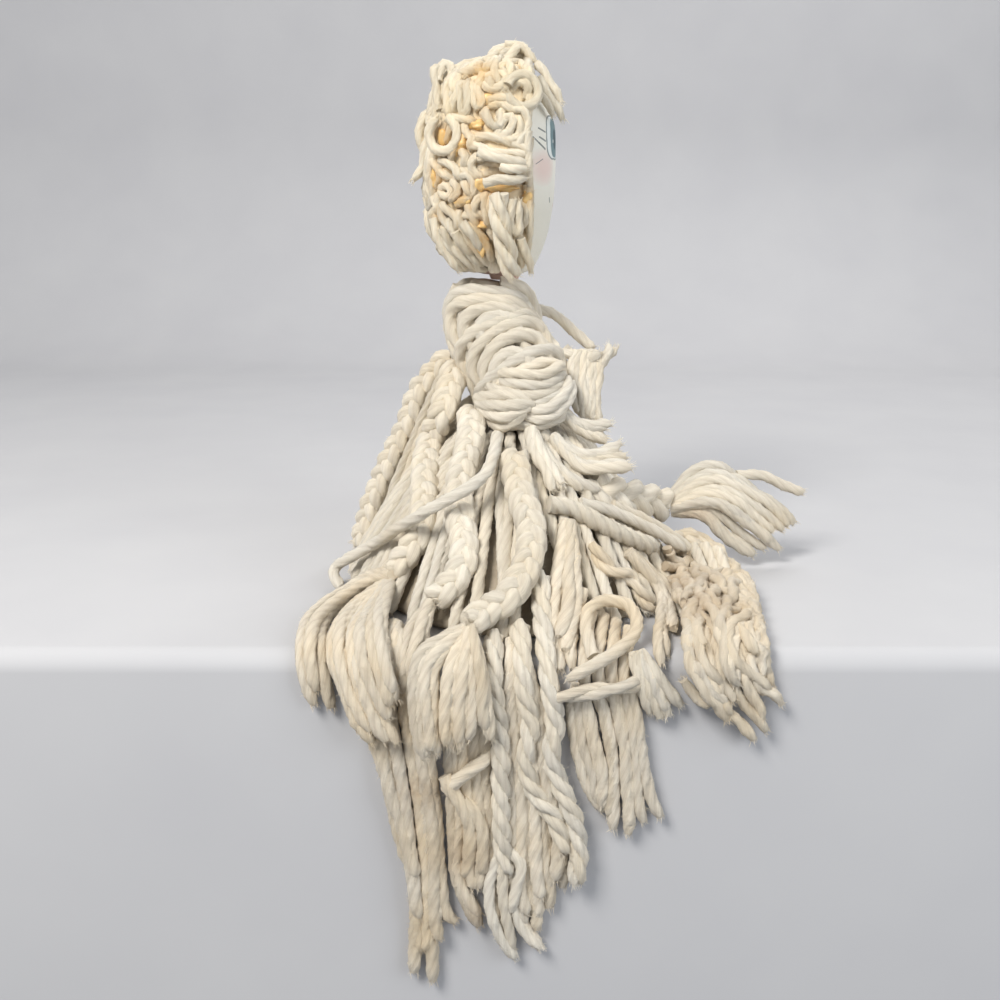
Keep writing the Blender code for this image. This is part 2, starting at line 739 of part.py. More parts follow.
left_pivot, outer_pivot = at_depths([(452, 355, -6), (449, 356, 4)])
outward_left = Vector((-0.9, -0.3, 0.35))
middle_plait_places = [*at_depths([(454, 366, -7), (452, 382, -13), (447, 398, -19), (441, 415, -24)]),
                       *lifted_on_heap([(431, 441, 6), (425, 470, 6), (424, 500, 6), (422, 525, 6),
                                        (411, 549, 6), (393, 571, 6)])]
inner_plait_places = [(471, 412, 6), (471, 430, 6), (469, 449, 6), (462, 472, 6), (459, 492, 6),
                      (460, 520, 6), (464, 543, 6), (463, 563, 6), (452, 583, 6), (434, 600, 6)]
outer_plait_places = [(449, 357, 4), (434, 373, 3), (419, 392, 2), (411, 415, 1), (400, 441, 0),
                      (389, 462, 0), (381, 482, 0), (373, 501, 0), (366, 524, 0), (359, 545, 0)]
cross_strand_places = [(497, 435, 9), (494, 452, 11), (486, 473, 15), (468, 488, 18), (445, 501, 19),
                       (420, 515, 20), (398, 528, 16), (372, 545, 9), (349, 558, 5), (337, 566, 3),
                       (335, 577, 3), (341, 587, 3)]
left_pair_places = (
    [(392, 575, 6), (371, 575, 5), (343, 590, 4), (320, 604, 3), (303, 620, 3), (298, 641, 3), (298, 662, 3),
     (302, 683, 3), (310, 702, 3)],
    [(392, 578, 6), (375, 586, 5), (352, 596, 4), (332, 608, 3), (320, 625, 3), (318, 645, 3), (321, 670, 3),
     (329, 707, 3)],
)
left_tassel_places = (
    [(388, 582, 6), (358, 602, 5), (338, 625, 5), (333, 655, 5), (343, 683, 7), (357, 718, 9.5),
     (372, 742, 9.5)],
    [(389, 583, 6), (370, 608, 7), (358, 640, 9), (365, 680, 9.5), (380, 715, 9.5), (396, 742, 9.5)],
    [(390, 584, 6), (382, 620, 9), (384, 660, 9.5), (396, 700, 9.5)],
)
inner_tassel_places = (
    [(429, 605, 7), (412, 628, 6), (405, 660, 5), (404, 700, 4)],
    [(430, 606, 7), (424, 634, 6), (420, 665, 5), (418, 700, 4)],
)
add_piece("outer_plait", lambda grow: plait("outer_plait", at_depths(outer_plait_places), outward_left,
                                            grow=grow),
          pale_yarn, outer_pivot)
add_piece("inner_plait", lambda grow: plait("inner_plait", lifted_on_heap(inner_plait_places), outward_front,
                                            grow=grow),
          pale_yarn)
add_piece("middle_plait", lambda grow: plait("middle_plait", middle_plait_places, outward_front, grow=grow),
          pale_yarn, left_pivot)
free_cord("cross_strand", lifted_on_heap(cross_strand_places), thick_strand_radius, pale_yarn, left_pivot)
add_piece("left_pair", strands([lifted_on_heap(places) for places in left_pair_places], yarn_radius),
          cream_yarn,
          left_pivot)
add_piece("left_tassel", strands([lifted_on_heap(places) for places in left_tassel_places],
                                 tassel_yarn_radius),
          cream_yarn, left_pivot)
add_piece("inner_tassel", strands([lifted_on_heap(places) for places in inner_tassel_places],
                                  tassel_yarn_radius),
          cream_yarn)
add_piece("fringe_lower", strands([lifted_on_heap(places) for places in fringe_lower], yarn_radius),
          pale_yarn)


# Right side: twisted ropes and an unravelled skein

right_rope_places = [(549, 504, 6), (571, 508, 6), (592, 519, 6), (615, 531, 6), (638, 541, 6),
                     (655, 547, 6)]
second_rope_places = [(594, 546, 5), (599, 557, 5), (612, 570, 5), (631, 579, 5), (641, 595, 5),
                      (652, 607, 4)]
split_rope_places = (
    [(627, 553, 5), (642, 568, 5), (656, 583, 5), (661, 597, 4), (661, 618, 4), (658, 641, 4),
     (661, 664, 4)],
    [(628, 552, 5), (645, 568, 5), (660, 588, 5), (670, 606, 4), (674, 628, 4)],
    [(629, 551, 5), (650, 570, 5), (679, 600, 4), (695, 625, 4), (699, 643, 4)],
)
skein_places = [(664, 552, 8), (690, 562, 8), (712, 588, 8), (722, 622, 8), (728, 655, 8), (740, 690, 7),
                (752, 722, 6)]
right_pivot = lifted_on_heap([(549, 504, 6)])[0]


def skein(grow):
    """A crimped, unravelled hank: a flat lumpy form along its route."""
    route = smooth_route(lifted_on_heap(skein_places), skein_ring_gap)
    along = directions(route)
    legs = np.linspace(0, len(route) - 1, len(skein_width_shares))
    rings = []
    for k, (point, ahead) in enumerate(zip(route, along)):
        up = (outward_front - ahead * outward_front.dot(ahead)).normalized()
        side = ahead.cross(up)
        wide = skein_half_width * float(np.interp(k, legs, skein_width_shares))
        if k in (0, len(route) - 1):
            point = point + ahead * (grow if k else -grow)
        ring = []
        for n in range(12):
            turn = math.tau * n / 12
            lump = skein_lump * math.sin(2.9 * turn + 2.3 * k) * math.sin(4.3 * turn - 1.7 * k)
            across = (wide + lump + grow) * math.cos(turn)
            deep = (skein_half_depth * min(1, wide / skein_half_depth / 1.4) + lump + grow) * math.sin(turn)
            ring.append(point + side * across + up * deep)
        rings.append(ring)
    return skin("skein", rings)


add_piece("right_rope", strand(lifted_on_heap(right_rope_places), rope_thickness / 2), cream_yarn,
          right_pivot)
add_piece("second_rope", strand(lifted_on_heap(second_rope_places), second_rope_radius), cream_yarn,
          right_pivot)
add_piece("split_rope", strands([lifted_on_heap(places) for places in split_rope_places], yarn_radius),
          cream_yarn,
          right_pivot)
add_piece("unravelled_skein", skein, cream_yarn, right_pivot)


# Hanging tassel at the right, the loop of yarn that goes round it and a short tassel beside it

loop_places = [(594, 656, 4), (588, 640, 4), (586, 618, 3.2), (594, 605, 5), (610, 600, 8), (627, 605, 10),
               (637, 619, 10), (633, 637, 10), (614, 653, 11), (592, 666, 10.5), (568, 679, 7)]
band_places = [(566, 696, 9), (590, 692, 9), (612, 688, 9), (627, 684, 9)]
hanging_tassel_places = (
    [(598, 672, 4), (588, 705, 4), (597, 745, 4), (603, 780, 4), (602, 806, 4)],
    [(600, 671, 4), (606, 705, 4), (612, 750, 4), (614, 788, 4), (613, 828, 4)],
    [(602, 671, 4), (620, 705, 4), (627, 755, 4), (630, 799, 4), (628, 833, 4)],
    [(604, 670, 4), (631, 705, 4), (641, 758, 4), (650, 795, 4), (660, 816, 4)],
)
short_tassel_places = (
    [(637, 652, 6), (640, 680, 5), (647, 710, 4)],
    [(638, 652, 6), (648, 685, 5), (657, 717, 4)],
    [(639, 652, 6), (656, 685, 5), (668, 716, 4)],
    [(640, 652, 6), (660, 680, 5), (681, 705, 4)],
)
tassel_pivot = lifted_on_heap([(604, 660, 5)])[0]
free_cord("loop_strand", lifted_on_heap(loop_places), yarn_radius, cream_yarn)
add_piece("tassel_band", strand(lifted_on_heap(band_places), thick_strand_radius), cream_yarn, tassel_pivot)
add_piece("hanging_tassel", strands([lifted_on_heap(places) for places in hanging_tassel_places],
                                    tassel_yarn_radius),
          cream_yarn, tassel_pivot)
add_piece("short_tassel", strands([lifted_on_heap(places) for places in short_tassel_places], yarn_radius),
          cream_yarn, tassel_pivot)


# Yarn that runs under the plaits and hangs over the edge of the seat

hanging_ropes = {
    "rope_right": [(541, 575, 5), (541, 605, 5), (545, 642, 5), (550, 690, 6), (555, 723, 6), (551, 756, 6),
                   (560, 785, 6), (574, 819, 6), (579, 850, 6), (576, 882, 6)],
    "rope_middle": [(520, 625, 5), (522, 655, 5), (524, 691, 6), (531, 723, 6), (525, 762, 6), (536, 793, 6),
                    (555, 819, 6), (565, 850, 6)],
    "rope_left": [(494, 635, 5), (493, 660, 5), (494, 691, 6), (500, 734, 6), (501, 778, 6), (501, 821, 6),
                  (504, 864, 6), (510, 920, 5), (514, 954, 4)],
}
for name, places in hanging_ropes.items():
    add_piece(name, strand(lifted_on_heap(places), hanging_rope_radius), cream_yarn)

hem_strands = {
    "hem_left": (
        [(392, 625, 4), (387, 644, 3), (382, 662, 3), (374, 690, 3), (383, 750, 3), (394, 810, 3),
         (404, 850, 3), (414, 880, 3), (416, 918, 3), (414, 971, 3)],
        [(393, 625, 4), (386, 644, 3), (378, 662, 3), (366, 690, 3), (372, 734, 3), (384, 768, 3),
         (398, 815, 3), (408, 850, 3)],
        [(395, 626, 4), (397, 644, 3), (400, 662, 3), (404, 700, 3), (418, 780, 3), (425, 864, 3),
         (430, 910, 3), (433, 980, 3)],
        [(397, 627, 4), (402, 644, 3), (408, 662, 3), (420, 700, 3), (434, 800, 3), (438, 853, 3),
         (444, 908, 3), (455, 921, 3)],
    ),
    "hem_middle": (
        [(468, 641, 3), (463, 668, 3), (450, 720, 3), (452, 800, 3), (456, 871, 3), (466, 900, 3),
         (479, 925, 3)],
        [(470, 641, 3), (470, 668, 3), (470, 720, 3), (474, 790, 3), (474, 850, 3), (486, 885, 3)],
        [(472, 641, 3), (475, 668, 3), (484, 720, 3), (486, 800, 3), (490, 860, 3), (497, 918, 3),
         (503, 940, 3)],
    ),
    "hem_right": (
        [(512, 641, 3), (511, 668, 3), (508, 720, 3), (512, 800, 3), (512, 886, 3), (524, 925, 3),
         (539, 946, 3)],
        [(514, 641, 3), (515, 668, 3), (520, 740, 3), (526, 810, 3), (528, 875, 3), (535, 908, 3),
         (537, 928, 3)],
        [(516, 641, 3), (520, 668, 3), (534, 740, 3), (545, 820, 3), (547, 860, 3), (550, 906, 3)],
        [(518, 641, 3), (524, 668, 3), (545, 730, 3), (560, 830, 3), (563, 886, 3)],
    ),
    "inner_strands_right": (
        [(566, 522, 4), (560, 560, 4), (554, 600, 4), (551, 640, 4)],
        [(568, 522, 4), (574, 560, 4), (571, 605, 4), (565, 650, 4)],
    ),
}
for name, routes in hem_strands.items():
    add_piece(name, strands([lifted_on_heap(places) for places in routes], hem_yarn_radius,
                            spacing=hem_ring_gap),
              cream_yarn)


# Yarn at the doll's far side, from the waist down to the seat

back_groups = {"back_strands_right": (15, 30, 45, 60), "back_strands_middle": (78, 93, 108),
               "back_strands_left":
               (126, 141, 156)}
back_shares = (0.02, 0.25, 0.5, 0.75, 0.92)


def down_the_heap(angle, shares, lift):
    """Points down the heap at an angle round its axis."""
    points = []
    for share in shares:
        turn = math.radians(angle)
        away = heap_top_radius + (heap_reach(turn) - heap_top_radius) * share + lift
        height = heap_height * (1 - share ** heap_fall_power) + lift
        points.append(Vector((heap_axis_x + away * math.cos(turn), away * math.sin(turn), height)))
    return points


for name, angles in back_groups.items():
    middle = sum(angles) / len(angles)
    routes = []
    for angle in angles:
        root = down_the_heap(middle + (angle - middle) / 6, back_shares[:1], back_lift)
        routes.append([*root, *down_the_heap(angle, back_shares[1:], back_lift)])
    add_piece(name, strands(routes, back_yarn_radius), pale_yarn)
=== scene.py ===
import json
import math
import random

import bmesh
import bpy
import numpy as np
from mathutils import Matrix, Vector, noise

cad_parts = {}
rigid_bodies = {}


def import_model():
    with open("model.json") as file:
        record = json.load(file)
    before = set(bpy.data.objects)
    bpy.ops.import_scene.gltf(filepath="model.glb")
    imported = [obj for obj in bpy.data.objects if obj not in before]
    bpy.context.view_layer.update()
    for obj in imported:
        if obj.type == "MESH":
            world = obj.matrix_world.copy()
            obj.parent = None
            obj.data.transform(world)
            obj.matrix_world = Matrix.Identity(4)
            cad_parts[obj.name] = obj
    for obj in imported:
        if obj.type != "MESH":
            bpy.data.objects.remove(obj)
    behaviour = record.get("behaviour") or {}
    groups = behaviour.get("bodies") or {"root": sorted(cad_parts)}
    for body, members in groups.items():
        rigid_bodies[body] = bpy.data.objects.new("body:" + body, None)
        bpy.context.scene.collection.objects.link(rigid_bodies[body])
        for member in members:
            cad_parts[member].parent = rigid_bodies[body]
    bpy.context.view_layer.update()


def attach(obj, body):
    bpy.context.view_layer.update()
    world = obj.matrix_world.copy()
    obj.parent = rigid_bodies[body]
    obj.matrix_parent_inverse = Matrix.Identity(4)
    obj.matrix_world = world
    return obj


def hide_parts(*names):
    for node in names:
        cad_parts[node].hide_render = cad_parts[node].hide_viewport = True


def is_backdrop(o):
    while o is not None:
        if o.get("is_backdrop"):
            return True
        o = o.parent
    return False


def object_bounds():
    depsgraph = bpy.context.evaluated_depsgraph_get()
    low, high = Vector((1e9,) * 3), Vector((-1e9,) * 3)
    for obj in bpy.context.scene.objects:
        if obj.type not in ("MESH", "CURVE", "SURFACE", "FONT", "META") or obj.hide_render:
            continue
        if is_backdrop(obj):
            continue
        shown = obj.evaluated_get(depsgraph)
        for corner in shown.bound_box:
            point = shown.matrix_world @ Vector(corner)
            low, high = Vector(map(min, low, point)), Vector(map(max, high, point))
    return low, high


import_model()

mm = 0.001


# Camera
# It stands in front of the seat, a little above the doll's waist, and looks slightly down.

camera_tilt = 14
camera_distance = 520 * mm
camera_height = 158 * mm
picture_middle = 500
picture_width = 1000
picture_reach = 1.17
sensor_width = 36
nearest_seen = 10 * mm
farthest_seen = 10


def into_scene(name, data):
    """A new object of the scene, made from its mesh, lamp or camera."""
    made = bpy.data.objects.new(name, data)
    bpy.context.scene.collection.objects.link(made)
    return made


camera = into_scene("camera", bpy.data.cameras.new("camera"))
camera.data.sensor_width = sensor_width
camera.data.lens = sensor_width * picture_reach
camera.data.clip_start = nearest_seen
camera.data.clip_end = farthest_seen
camera.location = (0, -camera_distance, camera_height)
camera.rotation_euler = (math.radians(90 - camera_tilt), 0, 0)
bpy.context.scene.camera = camera
bpy.context.scene.view_settings.view_transform = "Standard"


# Free strands
# Four single lengths of the doll's yarn lie free of the rest: soft cotton mop yarn of four loosely twisted plies,
# 5 mm thick, with a fibre surface and a little fuzz. They rest on the skirt's heap of yarn, the arm or the seat.

yarn_thickness = 5 * mm
yarn_radius = yarn_thickness / 2
ply_turn_length = 33 * mm
yarn_sides = {2: 16, 3: 18, 4: 16}
ring_gap = 2 * mm
fibre_length = 1.7 * mm
fibre_bend = 0.5
fibre_taper = 0.7
fuzz_width = 0.14 * mm
fuzz_lean = (1.2, 1.2, 3.1)
fuzz_reaches = {2: 0.5, 3: 1.25}
fray_width = 0.22 * mm
fray_lean = (0.55, 0.55, 3.1)
fray_reaches = {2: 0.35, 3: 1.0}
free_strand_fray = 2.1 * mm

seat_edge = 118 * mm
seat_edge_radius = 8 * mm
heap_height = 74 * mm
heap_top_radius = 10 * mm
heap_axis_x = 4 * mm
heap_reaches = [66 * mm, 54 * mm, 52 * mm, 58 * mm, 68 * mm, 84 * mm, 112 * mm, 92 * mm]
heap_fall_power = 1.5
heap_slope_share = 1.25
sight_step = 0.5 * mm
sight_far = 120 * mm


def seen_at(u, v, depth):
    """The point that shows at pixel (u, v), on the upright plane y = depth."""
    across = (u - picture_middle) / picture_width / picture_reach
    down = (v - picture_middle) / picture_width / picture_reach
    tilt = math.radians(camera_tilt)
    run = (depth + camera_distance) / (math.cos(tilt) - down * math.sin(tilt))
    return Vector((run * across, depth, camera_height - run * (math.sin(tilt) + down * math.cos(tilt))))


def curve_between(a, b, c, d, part):
    """The place a part of the way from b to c, on a smooth curve through four places or sizes."""
    return b + 0.5 * part * (c - a + part * (2 * a - 5 * b + 4 * c - d + part * (3 * (b - c) + d - a)))


def heap_reach(angle):
    """How far the heap of inner yarn spreads at an angle round its axis."""
    turn = (angle % math.tau) / math.tau * len(heap_reaches)
    beside = [heap_reaches[(int(turn) + k) % len(heap_reaches)] for k in (-1, 0, 1, 2)]
    return curve_between(*beside, turn % 1)


def heap_surface(x, y):
    """The height of the heap of inner yarn over the seat."""
    away = math.hypot(x - heap_axis_x, y)
    reach = heap_reach(math.atan2(y, x - heap_axis_x))
    share = min(max((away - heap_top_radius) / (reach - heap_top_radius), 0), 1)
    return heap_height * (1 - share ** heap_fall_power)


def under_surface(point, lift):
    """True where a point is less than lift off the heap, the seat or the drop past the seat's edge."""
    x, y, z = point
    corner = seat_edge_radius - seat_edge
    if y > corner:
        height = heap_surface(x, y)
        return z < lift or (height > 0 and z < height + lift * heap_slope_share)
    if z > -seat_edge_radius:
        return math.hypot(y - corner, z + seat_edge_radius) < seat_edge_radius + lift
    return y > -seat_edge - lift


def at_depths(places):
    """Points from (u, v, depth in mm)."""
    return [seen_at(u, v, depth * mm) for u, v, depth in places]


def on_heap(places):
    """Points from (u, v, height over the heap or the seat in mm)."""
    points = []
    for u, v, lift in places:
        depth = -seat_edge * 2
        while depth < sight_far and not under_surface(seen_at(u, v, depth), lift * mm):
            depth += sight_step
        points.append(seen_at(u, v, depth))
    return points


def all_at_depths(rows):
    """A route for each row of (u, v, depth in mm)."""
    return [at_depths(row) for row in rows]


def all_on_heap(rows):
    """A route for each row of (u, v, height over the heap or the seat in mm)."""
    return [on_heap(row) for row in rows]


def smooth_route(points, spacing):
    """Points at about even spacing on a smooth curve through the given ones."""
    ends = [points[0] * 2 - points[1], *points, points[-1] * 2 - points[-2]]
    route = []
    for a, b, c, d in zip(ends, ends[1:], ends[2:], ends[3:]):
        steps = max(1, round((c - b).length / spacing))
        for k in range(steps):
            route.append(curve_between(a, b, c, d, k / steps))
    return [*route, points[-1]]


def settled_mesh(piece):
    """The mesh of a piece with its modifiers applied."""
    return bpy.data.meshes.new_from_object(piece.evaluated_get(bpy.context.evaluated_depsgraph_get()))


def put(tree, kind, feeds, **settings):
    """Adds a node with these settings, and feeds its inputs, by name or place, from sockets or values."""
    made = tree.nodes.new(kind)
    for name, value in settings.items():
        setattr(made, name, value)
    for key, feed in feeds.items():
        if isinstance(feed, bpy.types.NodeSocket):
            tree.links.new(feed, made.inputs[key])
        else:
            made.inputs[key].default_value = feed
    return made.outputs


def maths(tree, operation, *feeds):
    """A number worked out from up to three others."""
    return put(tree, "ShaderNodeMath", dict(enumerate(feeds)), operation=operation)[0]


def scaled(tree, value, factor, base):
    """A number times a factor, plus a base."""
    return maths(tree, "ADD", base, maths(tree, "MULTIPLY", value, factor))


def blotches(tree, place, scale, detail, **more):
    """Soft random blotches, from 0 to 1."""
    return put(tree, "ShaderNodeTexNoise", {"Vector": place, "Scale": scale, "Detail": detail, **more})[0]


def chosen(tree, kind, reaches, seed):
    """A random number or vector for each place, between two limits."""
    return put(tree, "FunctionNodeRandomValue", {**reaches, "Seed": seed}, data_type=kind)


def fibre_instance(tree, width):
    """A short bent fibre that stands on its root, as geometry to repeat."""
    line = put(tree, "GeometryNodeCurvePrimitiveLine", {"Start": (0, 0, 0), "End": (0, 0, fibre_length)})[0]
    line = put(tree, "GeometryNodeResampleCurve", {"Curve": line, "Count": 4}, mode="COUNT")[0]
    part = put(tree, "GeometryNodeSplineParameter", {})["Factor"]
    bend = maths(tree, "MULTIPLY", maths(tree, "POWER", part, 2), fibre_length * fibre_bend)
    line = put(tree, "GeometryNodeSetPosition", {
        "Geometry": line, "Offset": put(tree, "ShaderNodeCombineXYZ", {"X": bend})[0]})[0]
    ring = put(tree, "GeometryNodeCurvePrimitiveCircle", {"Resolution": 3, "Radius": width / 2})[0]
    taper = maths(tree, "SUBTRACT", 1, maths(tree, "MULTIPLY", part, fibre_taper))
    fibre = put(tree, "GeometryNodeCurveToMesh", {"Curve": line, "Profile Curve": ring, "Scale": taper})[0]
    return stored(tree, fibre, "crest", 1.0)


def attribute_value(tree, name, kind="FLOAT"):
    """A named attribute of the geometry."""
    return put(tree, "GeometryNodeInputNamedAttribute", {"Name": name}, data_type=kind)[0]


def stored(tree, geometry, name, value, kind="FLOAT"):
    """Geometry with a named attribute on its points."""
    return put(tree, "GeometryNodeStoreNamedAttribute", {"Geometry": geometry, "Name": name, "Value": value},
               data_type=kind, domain="POINT")[0]


def fibres_on(tree, points, aim, lean, lean_seed, width, stretch):
    """Fibres that stand on points, each leaning its own way off the aim."""
    turn = chosen(tree, "FLOAT_VECTOR", {0: tuple(-part for part in lean), 1: lean}, lean_seed)[0]
    turn = put(tree, "FunctionNodeEulerToRotation", {0: turn})[0]
    turn = put(tree, "FunctionNodeRotateRotation", {"Rotation": aim, "Rotate By": turn}, rotation_space="LOCAL")[0]
    return put(tree, "GeometryNodeInstanceOnPoints", {
        "Points": points, "Instance": fibre_instance(tree, width), "Rotation": turn, "Scale": stretch})[0]


def yarn_tree():
    """Yarn of twisted plies along polylines, with fuzz on its surface and frayed fibres at its cut ends."""
    tree = bpy.data.node_groups.new("twisted_yarn", "GeometryNodeTree")
    sockets = (("Routes", "NodeSocketGeometry"), ("Ring Gap", "NodeSocketFloat"), ("Turn Length", "NodeSocketFloat"),
               ("Plies", "NodeSocketInt"), ("Sides", "NodeSocketInt"), ("Groove", "NodeSocketFloat"),
               ("Fuzz Per Area", "NodeSocketFloat"), ("Fray Length", "NodeSocketFloat"), ("Seed", "NodeSocketInt"),
               ("Finish", "NodeSocketMaterial"))
    for name, kind in sockets:
        tree.interface.new_socket(name, in_out="INPUT", socket_type=kind)
    tree.interface.new_socket("Yarn", in_out="OUTPUT", socket_type="NodeSocketGeometry")
    given = tree.nodes.new("NodeGroupInput").outputs

    curve = put(tree, "GeometryNodeMeshToCurve", {0: given["Routes"]})[0]
    curve = put(tree, "GeometryNodeResampleCurve", {"Curve": curve, "Length": given["Ring Gap"]}, mode="LENGTH")[0]
    along = attribute_value(tree, "along")
    turn = maths(tree, "DIVIDE", maths(tree, "MULTIPLY", along, math.tau), given["Turn Length"])
    tilt = maths(tree, "ADD", turn, attribute_value(tree, "start_turn"))
    curve = put(tree, "GeometryNodeSetCurveTilt", {"Curve": curve, "Tilt": tilt})[0]

    profile = put(tree, "GeometryNodeCurvePrimitiveCircle", {"Resolution": given["Sides"], "Radius": 1.0})[0]
    place = put(tree, "GeometryNodeInputPosition", {})[0]
    split = put(tree, "ShaderNodeSeparateXYZ", {0: place})
    angle = maths(tree, "ARCTAN2", split["Y"], split["X"])
    swing = maths(tree, "COSINE", maths(tree, "MULTIPLY", angle, maths(tree, "MULTIPLY", given["Plies"], 0.5)))
    crest = maths(tree, "ABSOLUTE", swing)
    profile = stored(tree, stored(tree, profile, "around", place, "FLOAT_VECTOR"), "crest", crest)
    depth = maths(tree, "MULTIPLY", given["Groove"],
                  maths(tree, "SUBTRACT", 1, maths(tree, "POWER", attribute_value(tree, "crest"), 0.7)))
    shrunk = put(tree, "ShaderNodeVectorMath", {0: place, "Scale": maths(tree, "SUBTRACT", 1, depth)},
                 operation="SCALE")[0]
    profile = put(tree, "GeometryNodeSetPosition", {"Geometry": profile, "Position": shrunk})[0]

    swell = scaled(tree, blotches(tree, place, 90.0, 2.0), 0.2, 0.9)
    size = maths(tree, "MULTIPLY", attribute_value(tree, "thick"), swell)
    yarn = put(tree, "GeometryNodeCurveToMesh",
               {"Curve": curve, "Profile Curve": profile, "Scale": size, "Fill Caps": True})[0]
    grain, lumps = (
        maths(tree, "MULTIPLY", maths(tree, "SUBTRACT", blotches(tree, place, scale, 1.0), 0.5), height)
        for scale, height in ((700.0, 0.6 * mm), (230.0, 1.5 * mm)))
    normal = put(tree, "GeometryNodeInputNormal", {})[0]
    push = put(tree, "ShaderNodeVectorMath", {0: normal, "Scale": maths(tree, "ADD", grain, lumps)},
               operation="SCALE")[0]
    yarn = put(tree, "GeometryNodeSetPosition", {"Geometry": yarn, "Offset": push})[0]
    yarn = put(tree, "GeometryNodeSetShadeSmooth", {"Geometry": yarn, "Shade Smooth": True})[0]

    spots = put(tree, "GeometryNodeDistributePointsOnFaces",
                {"Mesh": yarn, "Density": given["Fuzz Per Area"], "Seed": given["Seed"]}, distribute_method="RANDOM")
    fuzz = fibres_on(tree, spots["Points"], spots["Rotation"], fuzz_lean, given["Seed"], fuzz_width,
                     chosen(tree, "FLOAT", fuzz_reaches, given["Seed"])[1])

    ends = put(tree, "FunctionNodeCompare", {0: attribute_value(tree, "free_end"), 1: 0.99}, operation="GREATER_THAN",
               data_type="FLOAT")[0]
    tips = put(tree, "GeometryNodeMeshToPoints", {"Mesh": yarn, "Selection": ends})[0]
    heading = attribute_value(tree, "heading", "FLOAT_VECTOR")
    ahead = put(tree, "FunctionNodeAlignRotationToVector", {"Vector": heading}, axis="Z")[0]
    stretch = maths(tree, "MULTIPLY", chosen(tree, "FLOAT", fray_reaches, 3)[1],
                    maths(tree, "DIVIDE", given["Fray Length"], fibre_length))
    fray = fibres_on(tree, tips, ahead, fray_lean, 7, fray_width, stretch)

    joined = tree.nodes.new("GeometryNodeJoinGeometry")
    for piece in (fray, fuzz, yarn):
        tree.links.new(piece, joined.inputs[0])
    whole = put(tree, "GeometryNodeRealizeInstances", {"Geometry": joined.outputs[0]})[0]
    whole = put(tree, "GeometryNodeSetMaterial", {"Geometry": whole, "Material": given["Finish"]})[0]
    tree.links.new(whole, tree.nodes.new("NodeGroupOutput").inputs[0])
    return tree


twisted_yarn = yarn_tree()
chance = random.Random(11)
warm_tint = (0.97, 0.91, 0.80)


def new_finish(name, roughness):
    """A material with its node tree, its shader and the place on the object that its patterns follow."""
    made = bpy.data.materials.new(name)
    made.use_nodes = True
    shader = made.node_tree.nodes["Principled BSDF"]
    shader.inputs["Roughness"].default_value = roughness
    return made, made.node_tree, shader, put(made.node_tree, "ShaderNodeTexCoord", {})["Object"]


def mixed(tree, share, under, over, blend="MIX"):
    """One colour over another by a share. A colour is red, green and blue, or a socket."""
    under, over = ((*colour, 1) if isinstance(colour, tuple) else colour for colour in (under, over))
    return put(tree, "ShaderNodeMix", {0: share, 6: under, 7: over}, data_type="RGBA", blend_type=blend)[2]


def wear(tree, shader, colour, height, strength, distance):
    """Gives a shader its colour and its bumps."""
    tree.links.new(colour, shader.inputs["Base Color"])
    bump = put(tree, "ShaderNodeBump", {"Strength": strength, "Distance": distance, "Height": height})[0]
    tree.links.new(bump, shader.inputs["Normal"])


def yarn_finish(name, crest_colour, groove_shade_colour, aged_colour, patch_colour, aged_from=0.52):
    """Undyed cotton with fine fibres and broad aged patches, paler on its plies and darker in its grooves with painted
    shade.
    """
    made, tree, shader, place = new_finish(name + "_finish", 0.92)
    crest, tone, along, stain = (put(tree, "ShaderNodeAttribute", {}, attribute_name=label)["Fac"]
                                 for label in ("crest", "tone", "along", "stain"))
    around = put(tree, "ShaderNodeAttribute", {}, attribute_name="around")["Vector"]
    lengthwise = put(tree, "ShaderNodeCombineXYZ", {"Z": maths(tree, "MULTIPLY", along, 60.0)})[0]
    fibre_place = put(tree, "ShaderNodeVectorMath", {0: around, 1: (4.5, 4.5, 4.5), 2: lengthwise},
                      operation="MULTIPLY_ADD")[0]
    fibre = blotches(tree, fibre_place, 2.2, 4.0, Roughness=0.65)
    fine = blotches(tree, place, 1500.0, 2.0)

    # Painted shade: the colour darkens from the crests of the plies into their grooves, where shade falls between them.
    ridge = scaled(tree, maths(tree, "POWER", crest, 0.6), 0.5, 0.5)
    open_share = put(tree, "ShaderNodeClamp", {0: maths(tree, "MULTIPLY", ridge, scaled(tree, fibre, 1.6, 0.17))})[0]
    colour = mixed(tree, open_share, groove_shade_colour, crest_colour)
    aged = put(tree, "ShaderNodeMapRange", {
        0: blotches(tree, place, 24.0, 3.0), 1: aged_from, 2: aged_from + 0.2, 3: 0.0, 4: 0.65})[0]
    colour = mixed(tree, aged, colour, aged_colour, "MULTIPLY")
    # Darker tinted patches: near the given places the colour goes over to the patch colour, in speckles.
    stain = maths(tree, "MULTIPLY", stain, maths(tree, "ADD", 0.25, blotches(tree, place, 420.0, 2.0)))
    colour = mixed(tree, stain, colour, patch_colour)
    warmth = maths(tree, "FRACT", maths(tree, "MULTIPLY", tone, 7.3))
    colour = mixed(tree, maths(tree, "MULTIPLY", warmth, 0.6), colour, warm_tint, "MULTIPLY")
    colour = put(tree, "ShaderNodeHueSaturation", {"Color": colour, "Value": scaled(tree, tone, 0.2, 0.88)})[0]
    wear(tree, shader, colour, scaled(tree, fine, 0.35, fibre), 0.8, 1 * mm)
    shader.inputs["Specular IOR Level"].default_value = 0.25
    shader.inputs["Sheen Weight"].default_value = 0.25
    shader.inputs["Sheen Roughness"].default_value = 0.6
    return made


pale_yarn = yarn_finish("pale_yarn", (0.90, 0.84, 0.725), (0.60, 0.53, 0.43), (0.93, 0.87, 0.76), (0.52, 0.38, 0.26))
# The cream yarn's grooves are darker still: more painted shade, for the gaps between the hanging strands.
cream_yarn = yarn_finish("cream_yarn", (0.90, 0.82, 0.685), (0.56, 0.475, 0.36), (0.92, 0.83, 0.68),
                         (0.58, 0.46, 0.32), aged_from=0.46)


